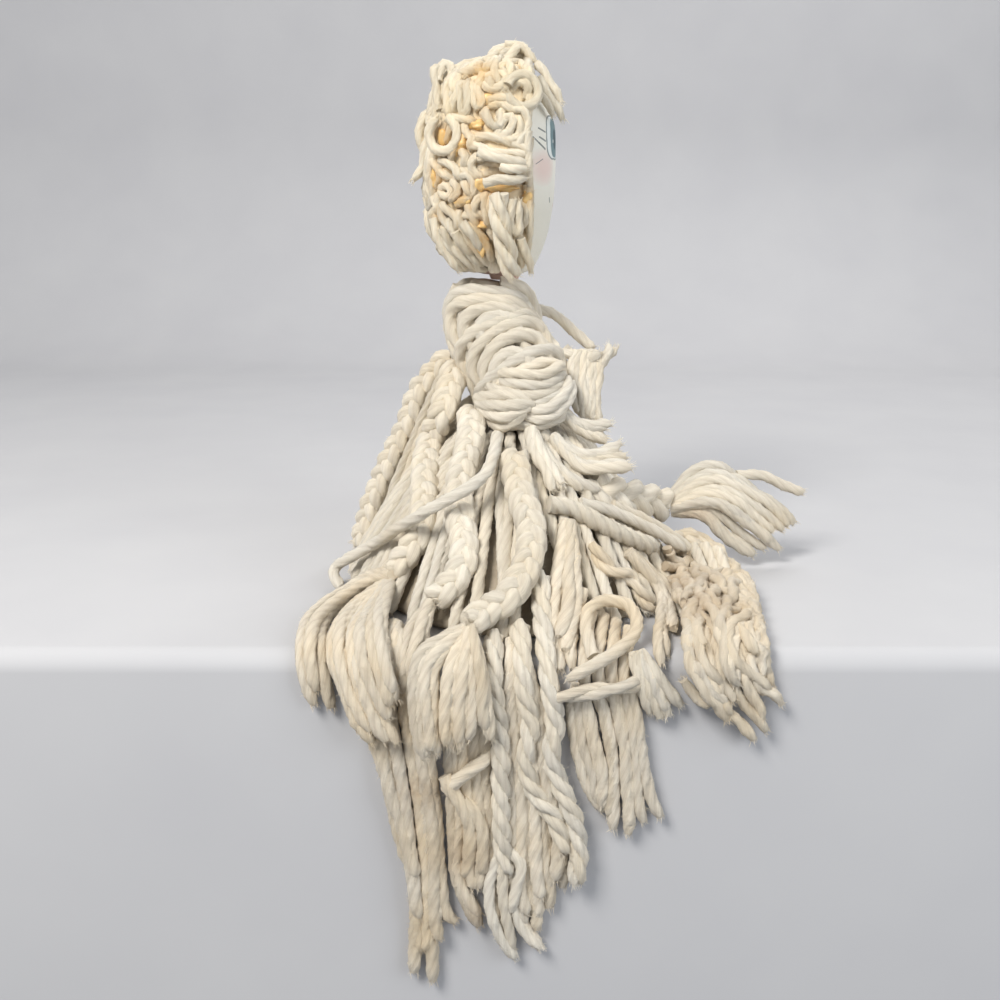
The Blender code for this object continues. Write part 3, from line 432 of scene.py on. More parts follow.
def yarn_mesh(name, routes, radii, finish, plies=4, turn_length=ply_turn_length, groove=0.11,
              gap=ring_gap, step=3 * mm, fuzz=60000.0, fray=2.6 * mm, frayed=True, tip_share=0.6, stains=()):
    """Twisted yarns along the routes, as one mesh. A radius for each route, or one for all of them. Each darker
    tinted patch is a (place, reach) pair, towards which the yarn takes on its patch colour."""
    shape = bpy.data.meshes.new(name)
    points, edges, facts = [], [], []
    for number, route in enumerate(routes):
        route = smooth_route(route, step)
        radius = radii[number] if isinstance(radii, (list, tuple)) else radii
        start, tone, gone = chance.uniform(0, math.tau), chance.random(), 0
        for k, point in enumerate(route):
            if k:
                gone += (point - route[k - 1]).length
                edges.append((len(points) - 1, len(points)))
            last = k == len(route) - 1
            heading = point - route[k - 1] if k else route[1] - point
            points.append(point)
            stain = max([math.exp(-((point - middle).length / reach) ** 2) for middle, reach in stains], default=0)
            facts.append((gone, radius * (tip_share if last else 1), start, tone, float(last and frayed), stain,
                          heading))
    shape.from_pydata(points, edges, [])
    for slot, label in enumerate(("along", "thick", "start_turn", "tone", "free_end", "stain")):
        shape.attributes.new(label, "FLOAT", "POINT").data.foreach_set("value", [fact[slot] for fact in facts])
    headings = [part for fact in facts for part in fact[6].normalized()]
    shape.attributes.new("heading", "FLOAT_VECTOR", "POINT").data.foreach_set("vector", headings)
    made = into_scene(name, shape)
    grown = made.modifiers.new("yarn", "NODES")
    grown.node_group = twisted_yarn
    sizes = {"Ring Gap": gap, "Turn Length": turn_length, "Plies": plies, "Sides": yarn_sides[plies], "Groove": groove,
             "Fuzz Per Area": fuzz, "Fray Length": fray, "Seed": len(bpy.data.objects), "Finish": finish}
    for item in twisted_yarn.interface.items_tree:
        if item.name in sizes and item.in_out == "INPUT":
            grown[item.identifier] = sizes[item.name]
    mesh = settled_mesh(made)
    bpy.data.objects.remove(made)
    bpy.data.meshes.remove(shape)
    mesh.name = name
    return mesh


def add_yarn(name, routes, radii, finish, body, nodes, **how):
    """A yarn piece that rides on a body and stands for these CAD nodes."""
    made = into_scene(name, yarn_mesh(name, routes, radii, finish, **how))
    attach(made, body)
    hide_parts(*nodes)
    return made


def add_node_yarn(node, routes, radii, finish, body, **how):
    """A yarn piece that stands for the one node that it is named after."""
    return add_yarn(node + "_yarn", routes, radii, finish, body, [node], **how)


def add_free_strand(name, points, finish, body):
    """A single free length of yarn."""
    made = add_node_yarn(name, [points], yarn_radius, finish, body, fray=free_strand_fray)


cross_strand_places = [(497, 435, 9), (494, 452, 11), (486, 473, 15), (468, 488, 18), (445, 501, 19),
                       (420, 515, 20), (398, 528, 16), (372, 545, 9)]
cross_strand_end_places = [(349, 558, -43), (337, 566, -40), (334, 576, -44), (341, 587, -50)]
loop_places = [(594, 656, -120), (588, 640, -115), (586, 618, -106), (594, 605, -100), (610, 600, -97.5),
               (627, 605, -99.5), (637, 619, -106), (633, 637, -115), (614, 653, -122.5), (592, 666, -125.5),
               (568, 679, -125.5)]
shoulder_places = [(537, 309, 4), (552, 313, 5), (569, 327, 5), (585, 341, 3), (593, 348, 0)]
hand_stray_places = [(737, 475.6, -3.6), (749, 474.5, -2.4), (765, 476, 0), (783, 485, 2), (803, 492, 4)]
add_free_strand("cross_strand", on_heap(cross_strand_places) + at_depths(cross_strand_end_places), pale_yarn,
                "left_lock")
add_free_strand("loop_strand", at_depths(loop_places), cream_yarn, "body")
add_free_strand("shoulder_strand", at_depths(shoulder_places), pale_yarn, "body")
add_free_strand("hand_strand", at_depths(hand_stray_places), pale_yarn, "arm")


# Seat and light
# A pale grey step with a rounded front edge, which the doll's yarn hangs over, under broad soft lamps.

seat_half_width = 1500 * mm
seat_drop = 700 * mm
edge_steps = 8
wall_distance = 900 * mm
wall_bend = 250 * mm
wall_steps = 16
wall_top = 1300 * mm

outline = [(-seat_edge, -seat_drop)]
for step in range(edge_steps + 1):
    turn = math.pi / 2 / edge_steps * step
    outline.append((seat_edge_radius * (1 - math.cos(turn)) - seat_edge, seat_edge_radius * (math.sin(turn) - 1)))
for step in range(wall_steps + 1):
    turn = math.pi / 2 / wall_steps * step
    outline.append((wall_distance - wall_bend * (1 - math.sin(turn)), wall_bend * (1 - math.cos(turn))))
outline.append((wall_distance, wall_top))
seat_shape = bpy.data.meshes.new("seat")
seat_points = [(side * seat_half_width, y, z) for side in (-1, 1) for y, z in outline]
seat_faces = [(k, k + 1, k + 1 + len(outline), k + len(outline)) for k in range(len(outline) - 1)]
seat_shape.from_pydata(seat_points, [], seat_faces)
seat_shape.shade_smooth()
seat = into_scene("seat", seat_shape)
seat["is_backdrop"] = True

paint, paint_tree, paint_shader, paint_place = new_finish("seat_paint", 0.85)
paint_colour = mixed(paint_tree, blotches(paint_tree, paint_place, 14.0, 4.0), (0.50, 0.50, 0.52), (0.56, 0.56, 0.57))
paint_tree.links.new(paint_colour, paint_shader.inputs["Base Color"])
seat_shape.materials.append(paint)

lamp_aim = Vector((0, 0, 0.05))
world_colour = (0.5, 0.52, 0.55, 1)
world_strength = 0.72
lamps = {
    "lamp_front_left": ((-0.55, -0.80, 0.95), 16.5, 0.45, (1.0, 0.97, 0.92)),
    "lamp_front_right": ((0.85, -0.70, 0.45), 5, 0.7, (0.94, 0.97, 1.0)),
    "lamp_behind": ((0.35, 0.75, 0.95), 6, 0.6, (1.0, 0.98, 0.95)),
}
for name, (place, power, size, colour) in lamps.items():
    lamp = into_scene(name, bpy.data.lights.new(name, "AREA"))
    lamp.data.energy = power
    lamp.data.size = size
    lamp.data.color = colour
    lamp.location = place
    lamp.rotation_euler = (lamp_aim - Vector(place)).to_track_quat("-Z", "Y").to_euler()

surroundings = bpy.data.worlds.new("surroundings")
surroundings.use_nodes = True
surroundings.node_tree.nodes["Background"].inputs["Color"].default_value = world_colour
surroundings.node_tree.nodes["Background"].inputs["Strength"].default_value = world_strength
bpy.context.scene.world = surroundings


# Inner yarn of the skirt
# A gathered heap, 74 mm high, of strands that run down from the waist to the seat over a core of packed yarn.

core_depth = 3 * mm
core_shares = (0, 0.2, 0.4, 0.58, 0.74, 0.87, 0.96, 1)
core_sides = 40
core_lift = 0.4 * mm
inner_strand_count = 88
inner_start_shares = (0.03, 0.30, 0.12, 0.42)
inner_step_share = 0.19


def heap_point(turn, share, lift):
    """The point lift off the heap, at an angle round its axis and a share of its reach there."""
    away = heap_top_radius + (heap_reach(turn) - heap_top_radius) * share + lift
    height = heap_height * (1 - share ** heap_fall_power) + lift
    return Vector((heap_axis_x + away * math.cos(turn), away * math.sin(turn), height))


def skin_over(name, rings, finish, levels=1):
    """A smooth closed skin over rings of equally many points."""
    shape = bmesh.new()
    loops = [[shape.verts.new(point) for point in ring] for ring in rings]
    for low, high in zip(loops, loops[1:]):
        for k in range(len(low)):
            after = (k + 1) % len(low)
            shape.faces.new((low[k], low[after], high[after], high[k]))
    for loop in (loops[0], loops[-1]):
        middle = shape.verts.new(sum((vert.co for vert in loop), Vector()) / len(loop))
        for k in range(len(loop)):
            shape.faces.new((loop[k], loop[(k + 1) % len(loop)], middle))
    bmesh.ops.recalc_face_normals(shape, faces=shape.faces)
    mesh = bpy.data.meshes.new(name)
    shape.to_mesh(mesh)
    shape.free()
    made = into_scene(name, mesh)
    made.modifiers.new("smooth", "SUBSURF").levels = levels
    made.data = settled_mesh(made)
    made.modifiers.clear()
    made.data.materials.append(finish)
    made.data.shade_smooth()
    return made


def packed_finish(name, colour, deep_colour):
    """Yarn that is packed out of sight, in lumps of a colour and a deeper one: where strands run over it, this darkness
    is painted shade between them.
    """
    made, tree, shader, place = new_finish(name, 0.95)
    lumps = blotches(tree, place, 260.0, 3.0)
    wear(tree, shader, mixed(tree, lumps, deep_colour, colour), lumps, 0.8, 1 * mm)
    return made


# Painted shade: the skirt core's browns stand for the shade between the inner strands that run over it.
shaded_packed_yarn = packed_finish("shaded_packed_yarn", (0.56, 0.48, 0.37), (0.32, 0.27, 0.20))
core_rings = []
for share in core_shares:
    ring = [heap_point(math.tau * n / core_sides, share, -core_depth) for n in range(core_sides)]
    core_rings.append([Vector((point.x, point.y, max(point.z, core_lift))) for point in ring])
skirt_core = skin_over("skirt_core", core_rings, shaded_packed_yarn)
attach(skirt_core, "body")
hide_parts("skirt_bundle")

inner_routes = []
for n in range(inner_strand_count):
    turn = math.tau * n / inner_strand_count + chance.uniform(-0.03, 0.03)
    share = inner_start_shares[n % 4]
    bend, lift = chance.uniform(-0.05, 0.05), chance.uniform(-0.6, 0.9) * mm
    route = [heap_point(turn, share, -core_depth)]
    while share < 0.98:
        share = min(share + inner_step_share, 0.99)
        point = heap_point(turn + bend * math.sin(5 * share), share, lift)
        route.append(Vector((point.x, point.y, max(point.z, yarn_radius))))
    inner_routes.append(route)
add_yarn("inner_yarn", inner_routes, yarn_radius, pale_yarn, "body", ["skirt_bundle"], fuzz=20000.0, gap=2.4 * mm)


# Left edge of the skirt
# Loose strands and a thin rope of three yarns that run down inside the outer plait and close the skirt's left edge.

left_edge_places = (
    [(450, 364, -4), (438, 384, -4), (427, 408, -5), (418, 430, -5), (407, 456, -6), (396, 482, -7), (385, 512, -8),
     (374, 538, -10)],
    [(453, 372, -8), (444, 392, -9), (436, 415, -10), (427, 440, -11), (415, 468, -12), (402, 500, -14)],
    [(455, 368, -3), (441, 388, -4), (428, 415, -5), (416, 445, -6), (403, 480, -7), (391, 512, -8), (379, 541, -10)],
    [(452, 380, -6), (441, 405, -8), (430, 432, -10), (418, 465, -12), (405, 500, -14), (393, 534, -18)],
)
left_rope_places = [(447, 395, -2), (434, 418, -2), (421, 446, -3), (410, 476, -5), (400, 506, -7), (391, 530, -10)]


def walked(route):
    """Each point of a route, with the direction there and the length gone so far."""
    gone = 0
    for k, point in enumerate(route):
        gone += (point - route[k - 1]).length if k else 0
        yield point, (route[min(k + 1, len(route) - 1)] - route[max(k - 1, 0)]).normalized(), gone


def squared(facing, ahead):
    """A direction, turned square to the one ahead."""
    return (facing - ahead * facing.dot(ahead)).normalized()


def twisted_routes(points, count, reach, turn_length):
    """Yarns that wind round a route together, one turn in each turn_length."""
    route = smooth_route(points, 2 * mm)
    side = (route[1] - route[0]).orthogonal().normalized()
    made = [[] for n in range(count)]
    for point, ahead, gone in walked(route):
        side = squared(side, ahead)
        up = ahead.cross(side)
        for n, line in enumerate(made):
            turn = math.tau * (n / count - gone / turn_length)
            line.append(point + (side * math.cos(turn) + up * math.sin(turn)) * reach)
    return made


left_edge_routes = all_at_depths(left_edge_places)
left_edge_routes += twisted_routes(at_depths(left_rope_places), 3, 1.5 * mm, 20 * mm)
add_yarn("left_edge_yarn", left_edge_routes, yarn_radius * 0.9, pale_yarn, "body", ["skirt_bundle"])


# Torso
# A thick plait, 42 mm across, of soft yarns that are laid in rows of arches over a packed core, each row over the
# legs of the one above, with short yarns in the hollows. It leans over the skirt and is drawn in at its foot.

torso_radius = 20 * mm
torso_depth_radius = 18.5 * mm
torso_top = 127.5 * mm
torso_height = 65.5 * mm
torso_top_x = -4 * mm
torso_lean = 21 * mm
torso_bow = 12 * mm
torso_axis_shares = ((0, 0, 0), (-0.024, 0, 0.053), (-0.048, 0, 0.145), (0, 0.167, 0.313), (0.286, 0.5, 0.481),
                     (0.619, 0.75, 0.649), (0.857, 0.917, 0.802), (0.952, 1, 0.939), (1, 1, 1))
torso_swell_shares = (0.66, 0.92, 1.0, 1.0, 1.06, 1.08, 1.0, 0.72, 0.3)
torso_foot = 0.985
torso_sides = 20
torso_slimmest = 1 * mm
loop_rows = 4
loop_row_share = 0.255
loop_yarns = 4
loop_start = 0.045
loop_yarn_share = 0.066
loop_reaches = [1.45, 1.14, 0.80, 0.42]
loop_steps = 14
loop_round_share = 0.6
loop_lean = 0.14
loop_rise_share = 0.12
loop_leg_share = 0.30
loop_crown_mm = 1.3
loop_leg_drop_mm = 3.4
loop_leg_step_mm = 1.2
loop_unevenness_mm = 0.2
small_arch_start = 0.3
small_arch_depth = 1 * mm
filler_depth = 2.6 * mm
top_yarn_places = (-9, -3, 3, 9)
top_yarn_gap = 1.4 * mm
side_yarn_turn = 0.14
braid_sink = 2.1 * mm
braid_yarn_radius = 3.1 * mm

torso_axis = smooth_route([Vector((torso_top_x + torso_lean * lean, -torso_bow * bow, torso_top - torso_height * drop))
                           for lean, bow, drop in torso_axis_shares], 1.5 * mm)


def torso_point(share, turn, lift):
    """The point lift off the torso's skin, at a share of its length and an angle round it."""
    place = share * (len(torso_axis) - 1)
    k = min(int(place), len(torso_axis) - 2)
    point = torso_axis[k].lerp(torso_axis[k + 1], place - k)
    ahead = (torso_axis[min(k + 2, len(torso_axis) - 1)] - torso_axis[max(k - 1, 0)]).normalized()
    side = squared(Vector((1, 0, 0)), ahead)
    up = ahead.cross(side)
    swell = float(np.interp(share, np.linspace(0, 1, len(torso_swell_shares)), torso_swell_shares))
    across = max(torso_radius * swell + lift, torso_slimmest) * math.cos(turn)
    return point + side * across + up * max(torso_depth_radius * swell + lift, torso_slimmest) * math.sin(turn)


def laid_yarn(places, lift):
    """A route over the torso from (share of its length, angle round it) pairs."""
    return [torso_point(min(share, torso_foot), turn, lift) for share, turn in places]


torso_rings = [[torso_point(k / (len(torso_axis) - 1), math.tau * n / torso_sides, -(braid_sink + braid_yarn_radius))
                for n in range(torso_sides)] for k in range(len(torso_axis))]
# Painted shade: the core's colours, darker than its yarn, stand for the shade between the arches laid over it.
torso_packing = packed_finish("torso_packing", (0.78, 0.71, 0.60), (0.56, 0.49, 0.39))
torso_core = skin_over("torso_core", torso_rings, torso_packing)
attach(torso_core, "body")
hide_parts("torso_plait")
torso_routes = []
for facing in (math.pi / 2, -math.pi / 2):
    for row in range(loop_rows):
        for number in range(loop_yarns):
            top = loop_start + loop_row_share * row + loop_yarn_share * number
            lean = chance.uniform(-loop_lean, loop_lean)
            route = []
            for step in range(-loop_steps, loop_steps + 1):
                part = abs(step) / loop_steps
                round_turn = min(part / loop_round_share, 1) * math.pi / 2
                leg_share = max(part - loop_round_share, 0) / (1 - loop_round_share)
                turn = facing + lean + math.copysign(loop_reaches[number] * math.sin(round_turn), step)
                share = top + loop_rise_share * (1 - math.cos(round_turn)) + loop_leg_share * leg_share
                lift = loop_crown_mm * mm * (1 - part)
                lift -= (loop_leg_drop_mm + loop_leg_step_mm * number) * mm * leg_share
                lift += chance.uniform(-loop_unevenness_mm, loop_unevenness_mm) * mm
                route.append(torso_point(min(share, torso_foot), turn, lift - braid_sink))
            torso_routes.append(route)
        small_arch_top = small_arch_start + loop_row_share * row
        torso_routes.append(laid_yarn(
            [(small_arch_top + 0.012 * abs(step), facing + 0.1 * step) for step in range(-3, 4)],
            -braid_sink - small_arch_depth))
        for number in range(loop_yarns - 1):
            reach = (loop_reaches[number] + loop_reaches[number + 1]) / 2
            top = loop_start + loop_row_share * row + loop_yarn_share * (number + 0.5)
            for way in (-1, 1):
                torso_routes.append(laid_yarn(
                    [(top + 0.02 + 0.035 * k, facing + way * reach * (0.75 + 0.05 * k)) for k in range(7)],
                    -braid_sink - filler_depth))
torso_edge_places = [(500, 283, -9), (514, 285, -8), (525, 291, -5), (531, 301, -2), (535, 314, 0), (534, 328, -2),
                     (531, 342, -5)]
torso_routes.append(at_depths(torso_edge_places))
for across in top_yarn_places:
    torso_routes.append([Vector((torso_top_x + ahead * mm, across * mm, torso_top - braid_yarn_radius - top_yarn_gap
                                 - 0.018 * (ahead ** 2 + across ** 2) * mm)) for ahead in range(-12, 13, 3)])
for turn in (-side_yarn_turn, side_yarn_turn, math.pi - side_yarn_turn, math.pi + side_yarn_turn):
    torso_routes.append(laid_yarn([(0.06 + 0.08 * k, turn + 0.1 * math.sin(k)) for k in range(10)], -braid_sink))
add_yarn("torso_braid", torso_routes, braid_yarn_radius, pale_yarn, "body", ["torso_plait"], frayed=False,
         gap=1.7 * mm, turn_length=42 * mm)


# Waist
# Flat turns of yarn round the foot of the torso, each of single yarns laid side by side, and two soft ties of
# three or four yarns below them.

waist_yarns = {
    "waist_wrap_upper": ([[(498, 372, -22), (508, 373, -32), (522, 374, -35), (540, 375, -35), (553, 370, -32),
                           (562, 364, -22)],
                          [(499, 381, -22), (509, 383, -33), (523, 384, -36), (541, 385, -35), (554, 380, -32),
                           (563, 373, -22)]], 2.5 * mm),
    "waist_wrap_lower": ([[(486, 384, -20), (495, 389, -30), (508, 393, -35), (526, 395, -36), (544, 393, -35),
                           (556, 386, -31), (564, 378, -21)],
                          [(525, 398, -30), (535, 402, -35), (547, 400, -35), (557, 393, -32), (565, 385, -22)]],
                         2.5 * mm),
    "waist_tie_left": ([[(479, 399, -24), (487, 397, -31), (499, 395, -35), (514, 396, -38), (528, 402, -36),
                         (534, 405, -30)],
                        [(480, 404, -26), (490, 405, -34), (503, 406, -38), (516, 405, -40), (528, 404, -37),
                         (534, 406, -31)],
                        [(481, 407, -26), (490, 414, -33), (502, 417, -38), (515, 413, -39), (527, 405, -37),
                         (533, 406, -32)],
                        [(485, 412, -25), (495, 423, -32), (505, 426, -36), (516, 418, -38), (525, 408, -37)]],
                       2.9 * mm),
    "waist_tie_right": ([[(524, 408, -33), (536, 411, -37), (549, 408, -38), (559, 400, -35), (567, 388, -29),
                          (568, 377, -23)],
                         [(521, 415, -33), (536, 419, -37), (551, 416, -37), (563, 407, -34), (571, 394, -28),
                          (572, 381, -23)],
                         [(508, 425, -32), (522, 425, -35), (540, 425, -35), (556, 420, -33), (567, 411, -29)]],
                        2.5 * mm),
}
for name, (strands, radius) in waist_yarns.items():
    add_node_yarn(name, all_at_depths(strands), radius, pale_yarn, "body", frayed=False)


# Loose side of the torso
# A fan of strands that comes off the torso's side and is knotted at its corner.

side_knot_places = [(598, 365, -13), (603, 357, -12), (611, 352, -11), (612, 347, -10)]
side_fan_places = (
    [(574, 350, -12), (569, 370, -15), (572, 392, -18), (580, 418, -20)],
    [(586, 352, -12), (584, 372, -15), (585, 395, -18), (589, 421, -20)],
    [(598, 357, -12), (598, 375, -14), (596, 398, -17), (597, 424, -20)],
)
fan_binding_places = [(562, 350, -9), (578, 358, -12), (600, 354, -12)]


def even_points(points, count):
    """As many points as wanted, evenly spaced on a smooth curve through the given ones."""
    route = smooth_route(points, 1.5 * mm)
    gone = np.cumsum([0] + [(b - a).length for a, b in zip(route, route[1:])])
    flat = np.array([point[:] for point in route])
    wanted = np.linspace(0, gone[-1], count)
    return [Vector([float(np.interp(far, gone, flat[:, axis])) for axis in range(3)]) for far in wanted]


def filled(routes, count, stray=1.5 * mm, lift=1.5 * mm, trim_share=0.1, wave=0.8 * mm):
    """Strands spread over the given ones, which keep their roots and go a little astray towards their ends."""
    steps = 11
    runs = [even_points(route, steps + 1) for route in routes]
    made = []
    for n in range(count):
        place = (len(runs) - 1) * (n + 0.5) / count + chance.uniform(-0.12, 0.12)
        place = min(max(place, 0), len(runs) - 1 - 1e-6)
        low, part = int(place), place % 1
        drift = Vector((chance.uniform(-stray, stray), 0, chance.uniform(-stray, stray)))
        drift += Vector((0, -0.7, 0.7)) * lift * (chance.uniform(0, 0.4) + 0.6 * (n % 2))
        start, waves = chance.uniform(0, math.tau), chance.uniform(1.0, 2.2)
        kept = 1 - chance.uniform(0, trim_share)
        route = []
        for k, (a, b) in enumerate(zip(runs[low], runs[low + 1])):
            share = k / steps
            side = Vector((1, 0, 0.3)) * wave * share * math.sin(start + math.tau * waves * share)
            route.append(a.lerp(b, part) + drift * min(1, 0.25 + share) + side)
        route[-1] = route[-2].lerp(route[-1], max(0.1, 1 - (1 - kept) * steps))
        made.append(route)
    return made


knot_routes = twisted_routes(at_depths(side_knot_places), 2, 1.5 * mm, 16 * mm)
add_node_yarn("side_knot", knot_routes, 2.1 * mm, pale_yarn, "body")
fan_routes = filled(all_at_depths(side_fan_places), 8, stray=1 * mm)
fan_routes += twisted_routes(at_depths(fan_binding_places), 2, 1.8 * mm, 26 * mm)
add_node_yarn("side_fan", fan_routes, 2.3 * mm, pale_yarn, "body")


# Fringes
# Cut ends of yarn, 5 mm thick, that stick out to the right from under the torso.

fringe_upper_places = (
    [(552, 436, -38), (569, 449, -42), (592, 455, -42), (606, 450, -40), (620, 443, -38)],
    [(552, 437, -39), (576, 459, -43), (603, 459, -42), (625, 456, -40)],
    [(553, 438, -39), (580, 467, -47), (608, 468, -51), (631, 467, -51)],
)
fringe_short_places = ([(564, 415, -30), (578, 423, -30), (594, 425, -30), (611, 423, -30)],
                       [(565, 417, -30), (582, 431, -30), (606, 441, -30)])
fringe_lower_places = (
    [(532, 430, 5), (546, 455, 5), (569, 477, 5), (597, 490, 5)],
    [(530, 430, 5), (534, 453, 5), (546, 471, 5), (553, 491, 5)],
    [(531, 430, 5), (541, 452, 5), (551, 468, 5), (563, 488, 5)],
)
fringes = {
    "fringe_upper": (all_at_depths(fringe_upper_places), 6),
    "fringe_short": (all_at_depths(fringe_short_places), 4),
    "fringe_lower": (all_on_heap(fringe_lower_places), 6),
}
for name, (routes, count) in fringes.items():
    more = filled(routes, count - len(routes), stray=1.2 * mm, lift=-0.6 * mm)
    add_node_yarn(name, routes + more, yarn_radius, pale_yarn, "body")


# Plaits
# Three soft legs each, 12.5 mm wide and 9 mm deep, crossing once in 7 mm: the front plait and the three plaits at
# the left. The arm is one of these too, 16 mm wide and loosely crossed, once in 13 mm.

plait_width = 12.5 * mm
plait_leg_rise = 1.9 * mm
plait_leg_radius = 3.15 * mm
plait_turn_length = 22 * mm
plait_yarn_turn_length = 40 * mm
arm_width = 16 * mm
arm_turn_length = 40 * mm
outward_front = Vector((0, -0.8, 0.6))
outward_left = Vector((-0.6, -0.75, 0.3))
outward_arm = Vector((0.65, -0.7, 0.3))


def plait_routes(points, facing, width, turn_length, taper_share=0.85):
    """The three legs of a plait along a route, with the plait's flat side to a direction."""
    route = smooth_route(points, 1.6 * mm)
    legs = [[] for n in range(3)]
    for k, (point, ahead, gone) in enumerate(walked(route)):
        up = squared(facing, ahead)
        side = ahead.cross(up)
        size = 1 - (1 - taper_share) * k / (len(route) - 1)
        for n in range(3):
            turn = math.tau * (gone / turn_length + n / 3)
            across = side * (width / 2 - plait_leg_radius) * 1.1 * math.sin(turn)
            legs[n].append(point + (across + up * plait_leg_rise * math.sin(2 * turn)) * size)
    return legs


arm_places = [(590, 486, -45), (604, 493, -46), (619, 497, -39), (636, 499, -30), (653, 502, -20), (667, 505, -12)]
front_plait_places = [(513, 455, 6), (517, 478, 7), (524, 505, 8), (532, 530, 9), (530, 553, 10), (523, 574, 11),
                      (508, 597, 12), (484, 613, 13), (470, 623, 13)]
middle_plait_high_places = [(454, 366, -7), (452, 382, -13), (447, 398, -19), (441, 415, -24)]
middle_plait_low_places = [(431, 441, 6), (425, 470, 6), (424, 500, 6), (422, 525, 6), (411, 549, 6), (393, 571, 6)]
inner_plait_places = [(471, 412, 6), (471, 430, 6), (469, 449, 6), (462, 472, 6), (459, 492, 6), (460, 520, 6),
                      (464, 543, 6), (463, 563, 6), (452, 583, 6), (434, 600, 6)]
outer_plait_places = [(449, 357, 4), (434, 373, 3), (419, 392, 2), (411, 415, 1), (400, 441, 0), (389, 462, 0),
                      (381, 482, 0), (373, 501, 0), (366, 524, 0), (359, 545, 0)]
plaits = {
    "arm_plait": (at_depths(arm_places), outward_arm, arm_width, "arm", arm_turn_length),
    "front_plait": (on_heap(front_plait_places), outward_front, plait_width, "front_lock", plait_turn_length),
    "middle_plait": (at_depths(middle_plait_high_places) + on_heap(middle_plait_low_places), outward_front,
                     plait_width, "left_lock", plait_turn_length),
    "inner_plait": (on_heap(inner_plait_places), outward_front, plait_width, "body", plait_turn_length),
    "outer_plait": (at_depths(outer_plait_places), outward_left, plait_width, "outer_lock", plait_turn_length),
}
for name, (points, facing, width, body, turn_length) in plaits.items():
    routes = plait_routes(points, facing, width, turn_length)
    add_node_yarn(name, routes, plait_leg_radius * (width / plait_width) ** 0.5, pale_yarn, body, gap=1.5 * mm,
                  turn_length=plait_yarn_turn_length)


# Loosened ends
# The yarn below each plait, untwisted from it into a tassel of cut strands: the hand, the front tassel, and the
# left tassels with the pair of strands at the far left.

# A darker brown patch on the hand's strands, near their root.
hand_patch_place = (694, 522, -14)
hand_patch_reach = 7 * mm
hand_places = (
    [(669, 502, -11), (690, 473, -8), (713, 465, -6), (734, 475, -4)],
    [(669, 505, -11), (695, 480, -11), (718, 474, -10), (748, 490, -7), (773, 503, -3), (794, 523, 0)],
    [(670, 507, -12), (702, 490, -14), (729, 492, -14), (757, 508, -11), (782, 529, -6)],
    [(671, 509, -13), (706, 501, -18), (732, 510, -17), (752, 526, -13), (779, 549, -9)],
    [(672, 510, -12), (706, 508, -15), (725, 519, -14), (743, 535, -11), (764, 548, -9)],
    [(673, 512, -11), (704, 516, -16), (720, 533, -16), (739, 547, -14), (752, 554, -12)],
)
front_tassel_places = (
    [(465, 628, 13), (440, 640, 13), (420, 655, 13), (414, 684, 12), (416, 722, 12), (424, 757, 12)],
    [(465, 629, 13), (446, 646, 13), (432, 665, 12), (430, 700, 12), (437, 752, 12)],
    [(466, 630, 13), (456, 655, 12), (450, 690, 12), (451, 745, 12)],
    [(467, 630, 13), (468, 660, 12), (466, 700, 12), (460, 748, 12)],
    [(469, 629, 13), (478, 655, 12), (484, 690, 12), (490, 738, 12)],
)
left_pair_places = (
    [(392, 573, 6), (371, 575, 5), (346, 590, 4), (324, 604, 3), (308, 620, 3), (302, 641, 3), (302, 662, 3),
     (306, 683, 3), (314, 704, 3)],
    [(392, 578, 6), (375, 586, 5), (354, 596, 4), (335, 608, 3), (323, 625, 3), (320, 645, 3), (323, 670, 3),
     (331, 707, 3)],
    [(392, 575, 8), (372, 580, 8), (348, 593, 7), (328, 607, 6), (314, 624, 6), (310, 643, 6), (311, 665, 5),
     (316, 690, 4)],
)
left_tassel_places = (
    [(388, 582, 6), (358, 602, 5), (338, 625, 5), (333, 655, 5), (343, 683, 7), (357, 718, 9.5), (372, 742, 9.5)],
    [(389, 583, 6), (370, 608, 7), (358, 640, 9), (365, 680, 9.5), (380, 715, 9.5), (396, 742, 9.5)],
    [(390, 584, 6), (382, 620, 9), (384, 660, 9.5), (396, 700, 9.5)],
)
inner_tassel_places = (
    [(429, 605, 7), (412, 628, 6), (405, 660, 5), (404, 700, 4)],
    [(430, 606, 7), (424, 634, 6), (420, 665, 5), (418, 700, 4)],
)
tassels = {
    "hand_tassel": (all_at_depths(hand_places), 11, pale_yarn, "arm"),
    "front_tassel": (all_on_heap(front_tassel_places), 13, cream_yarn, "front_lock"),
    "left_pair": (all_on_heap(left_pair_places), 3, cream_yarn, "left_lock"),
    "left_tassel": (all_on_heap(left_tassel_places), 13, cream_yarn, "left_lock"),
    "inner_tassel": (all_on_heap(inner_tassel_places), 4, cream_yarn, "body"),
}
tassel_stains = {"hand_tassel": [(place, hand_patch_reach) for place in at_depths([hand_patch_place])]}
for name, (routes, count, finish, body) in tassels.items():
    more = filled(routes, count - len(routes), stray=2 * mm, lift=2.5 * mm)
    add_node_yarn(name, routes + more, yarn_radius, finish, body, stains=tassel_stains.get(name, ()))


# Right side
# A rope and a thinner one, twisted from the doll's yarn, a strand that splits in three, and a flat unravelled hank
# of crimped plies.

rope_thickness = 7.6 * mm
skein_half_width = 14 * mm
skein_half_depth = 6.5 * mm
skein_width_shares = (0.5, 0.95, 1.2, 1.15, 1.05, 1.1, 0.9)
crimp_length = 6 * mm
crimp_reach = 1.7 * mm
crimp_seed = 11
skein_strand_count = 44
skein_strand_radius = 2.15 * mm
skein_steps = 59
skein_half = 30
# Darker brown patches over the upper part of the hank.
skein_patch_places = [(668, 560, 10), (686, 585, 10), (704, 608, 10)]
skein_patch_reach = 15 * mm

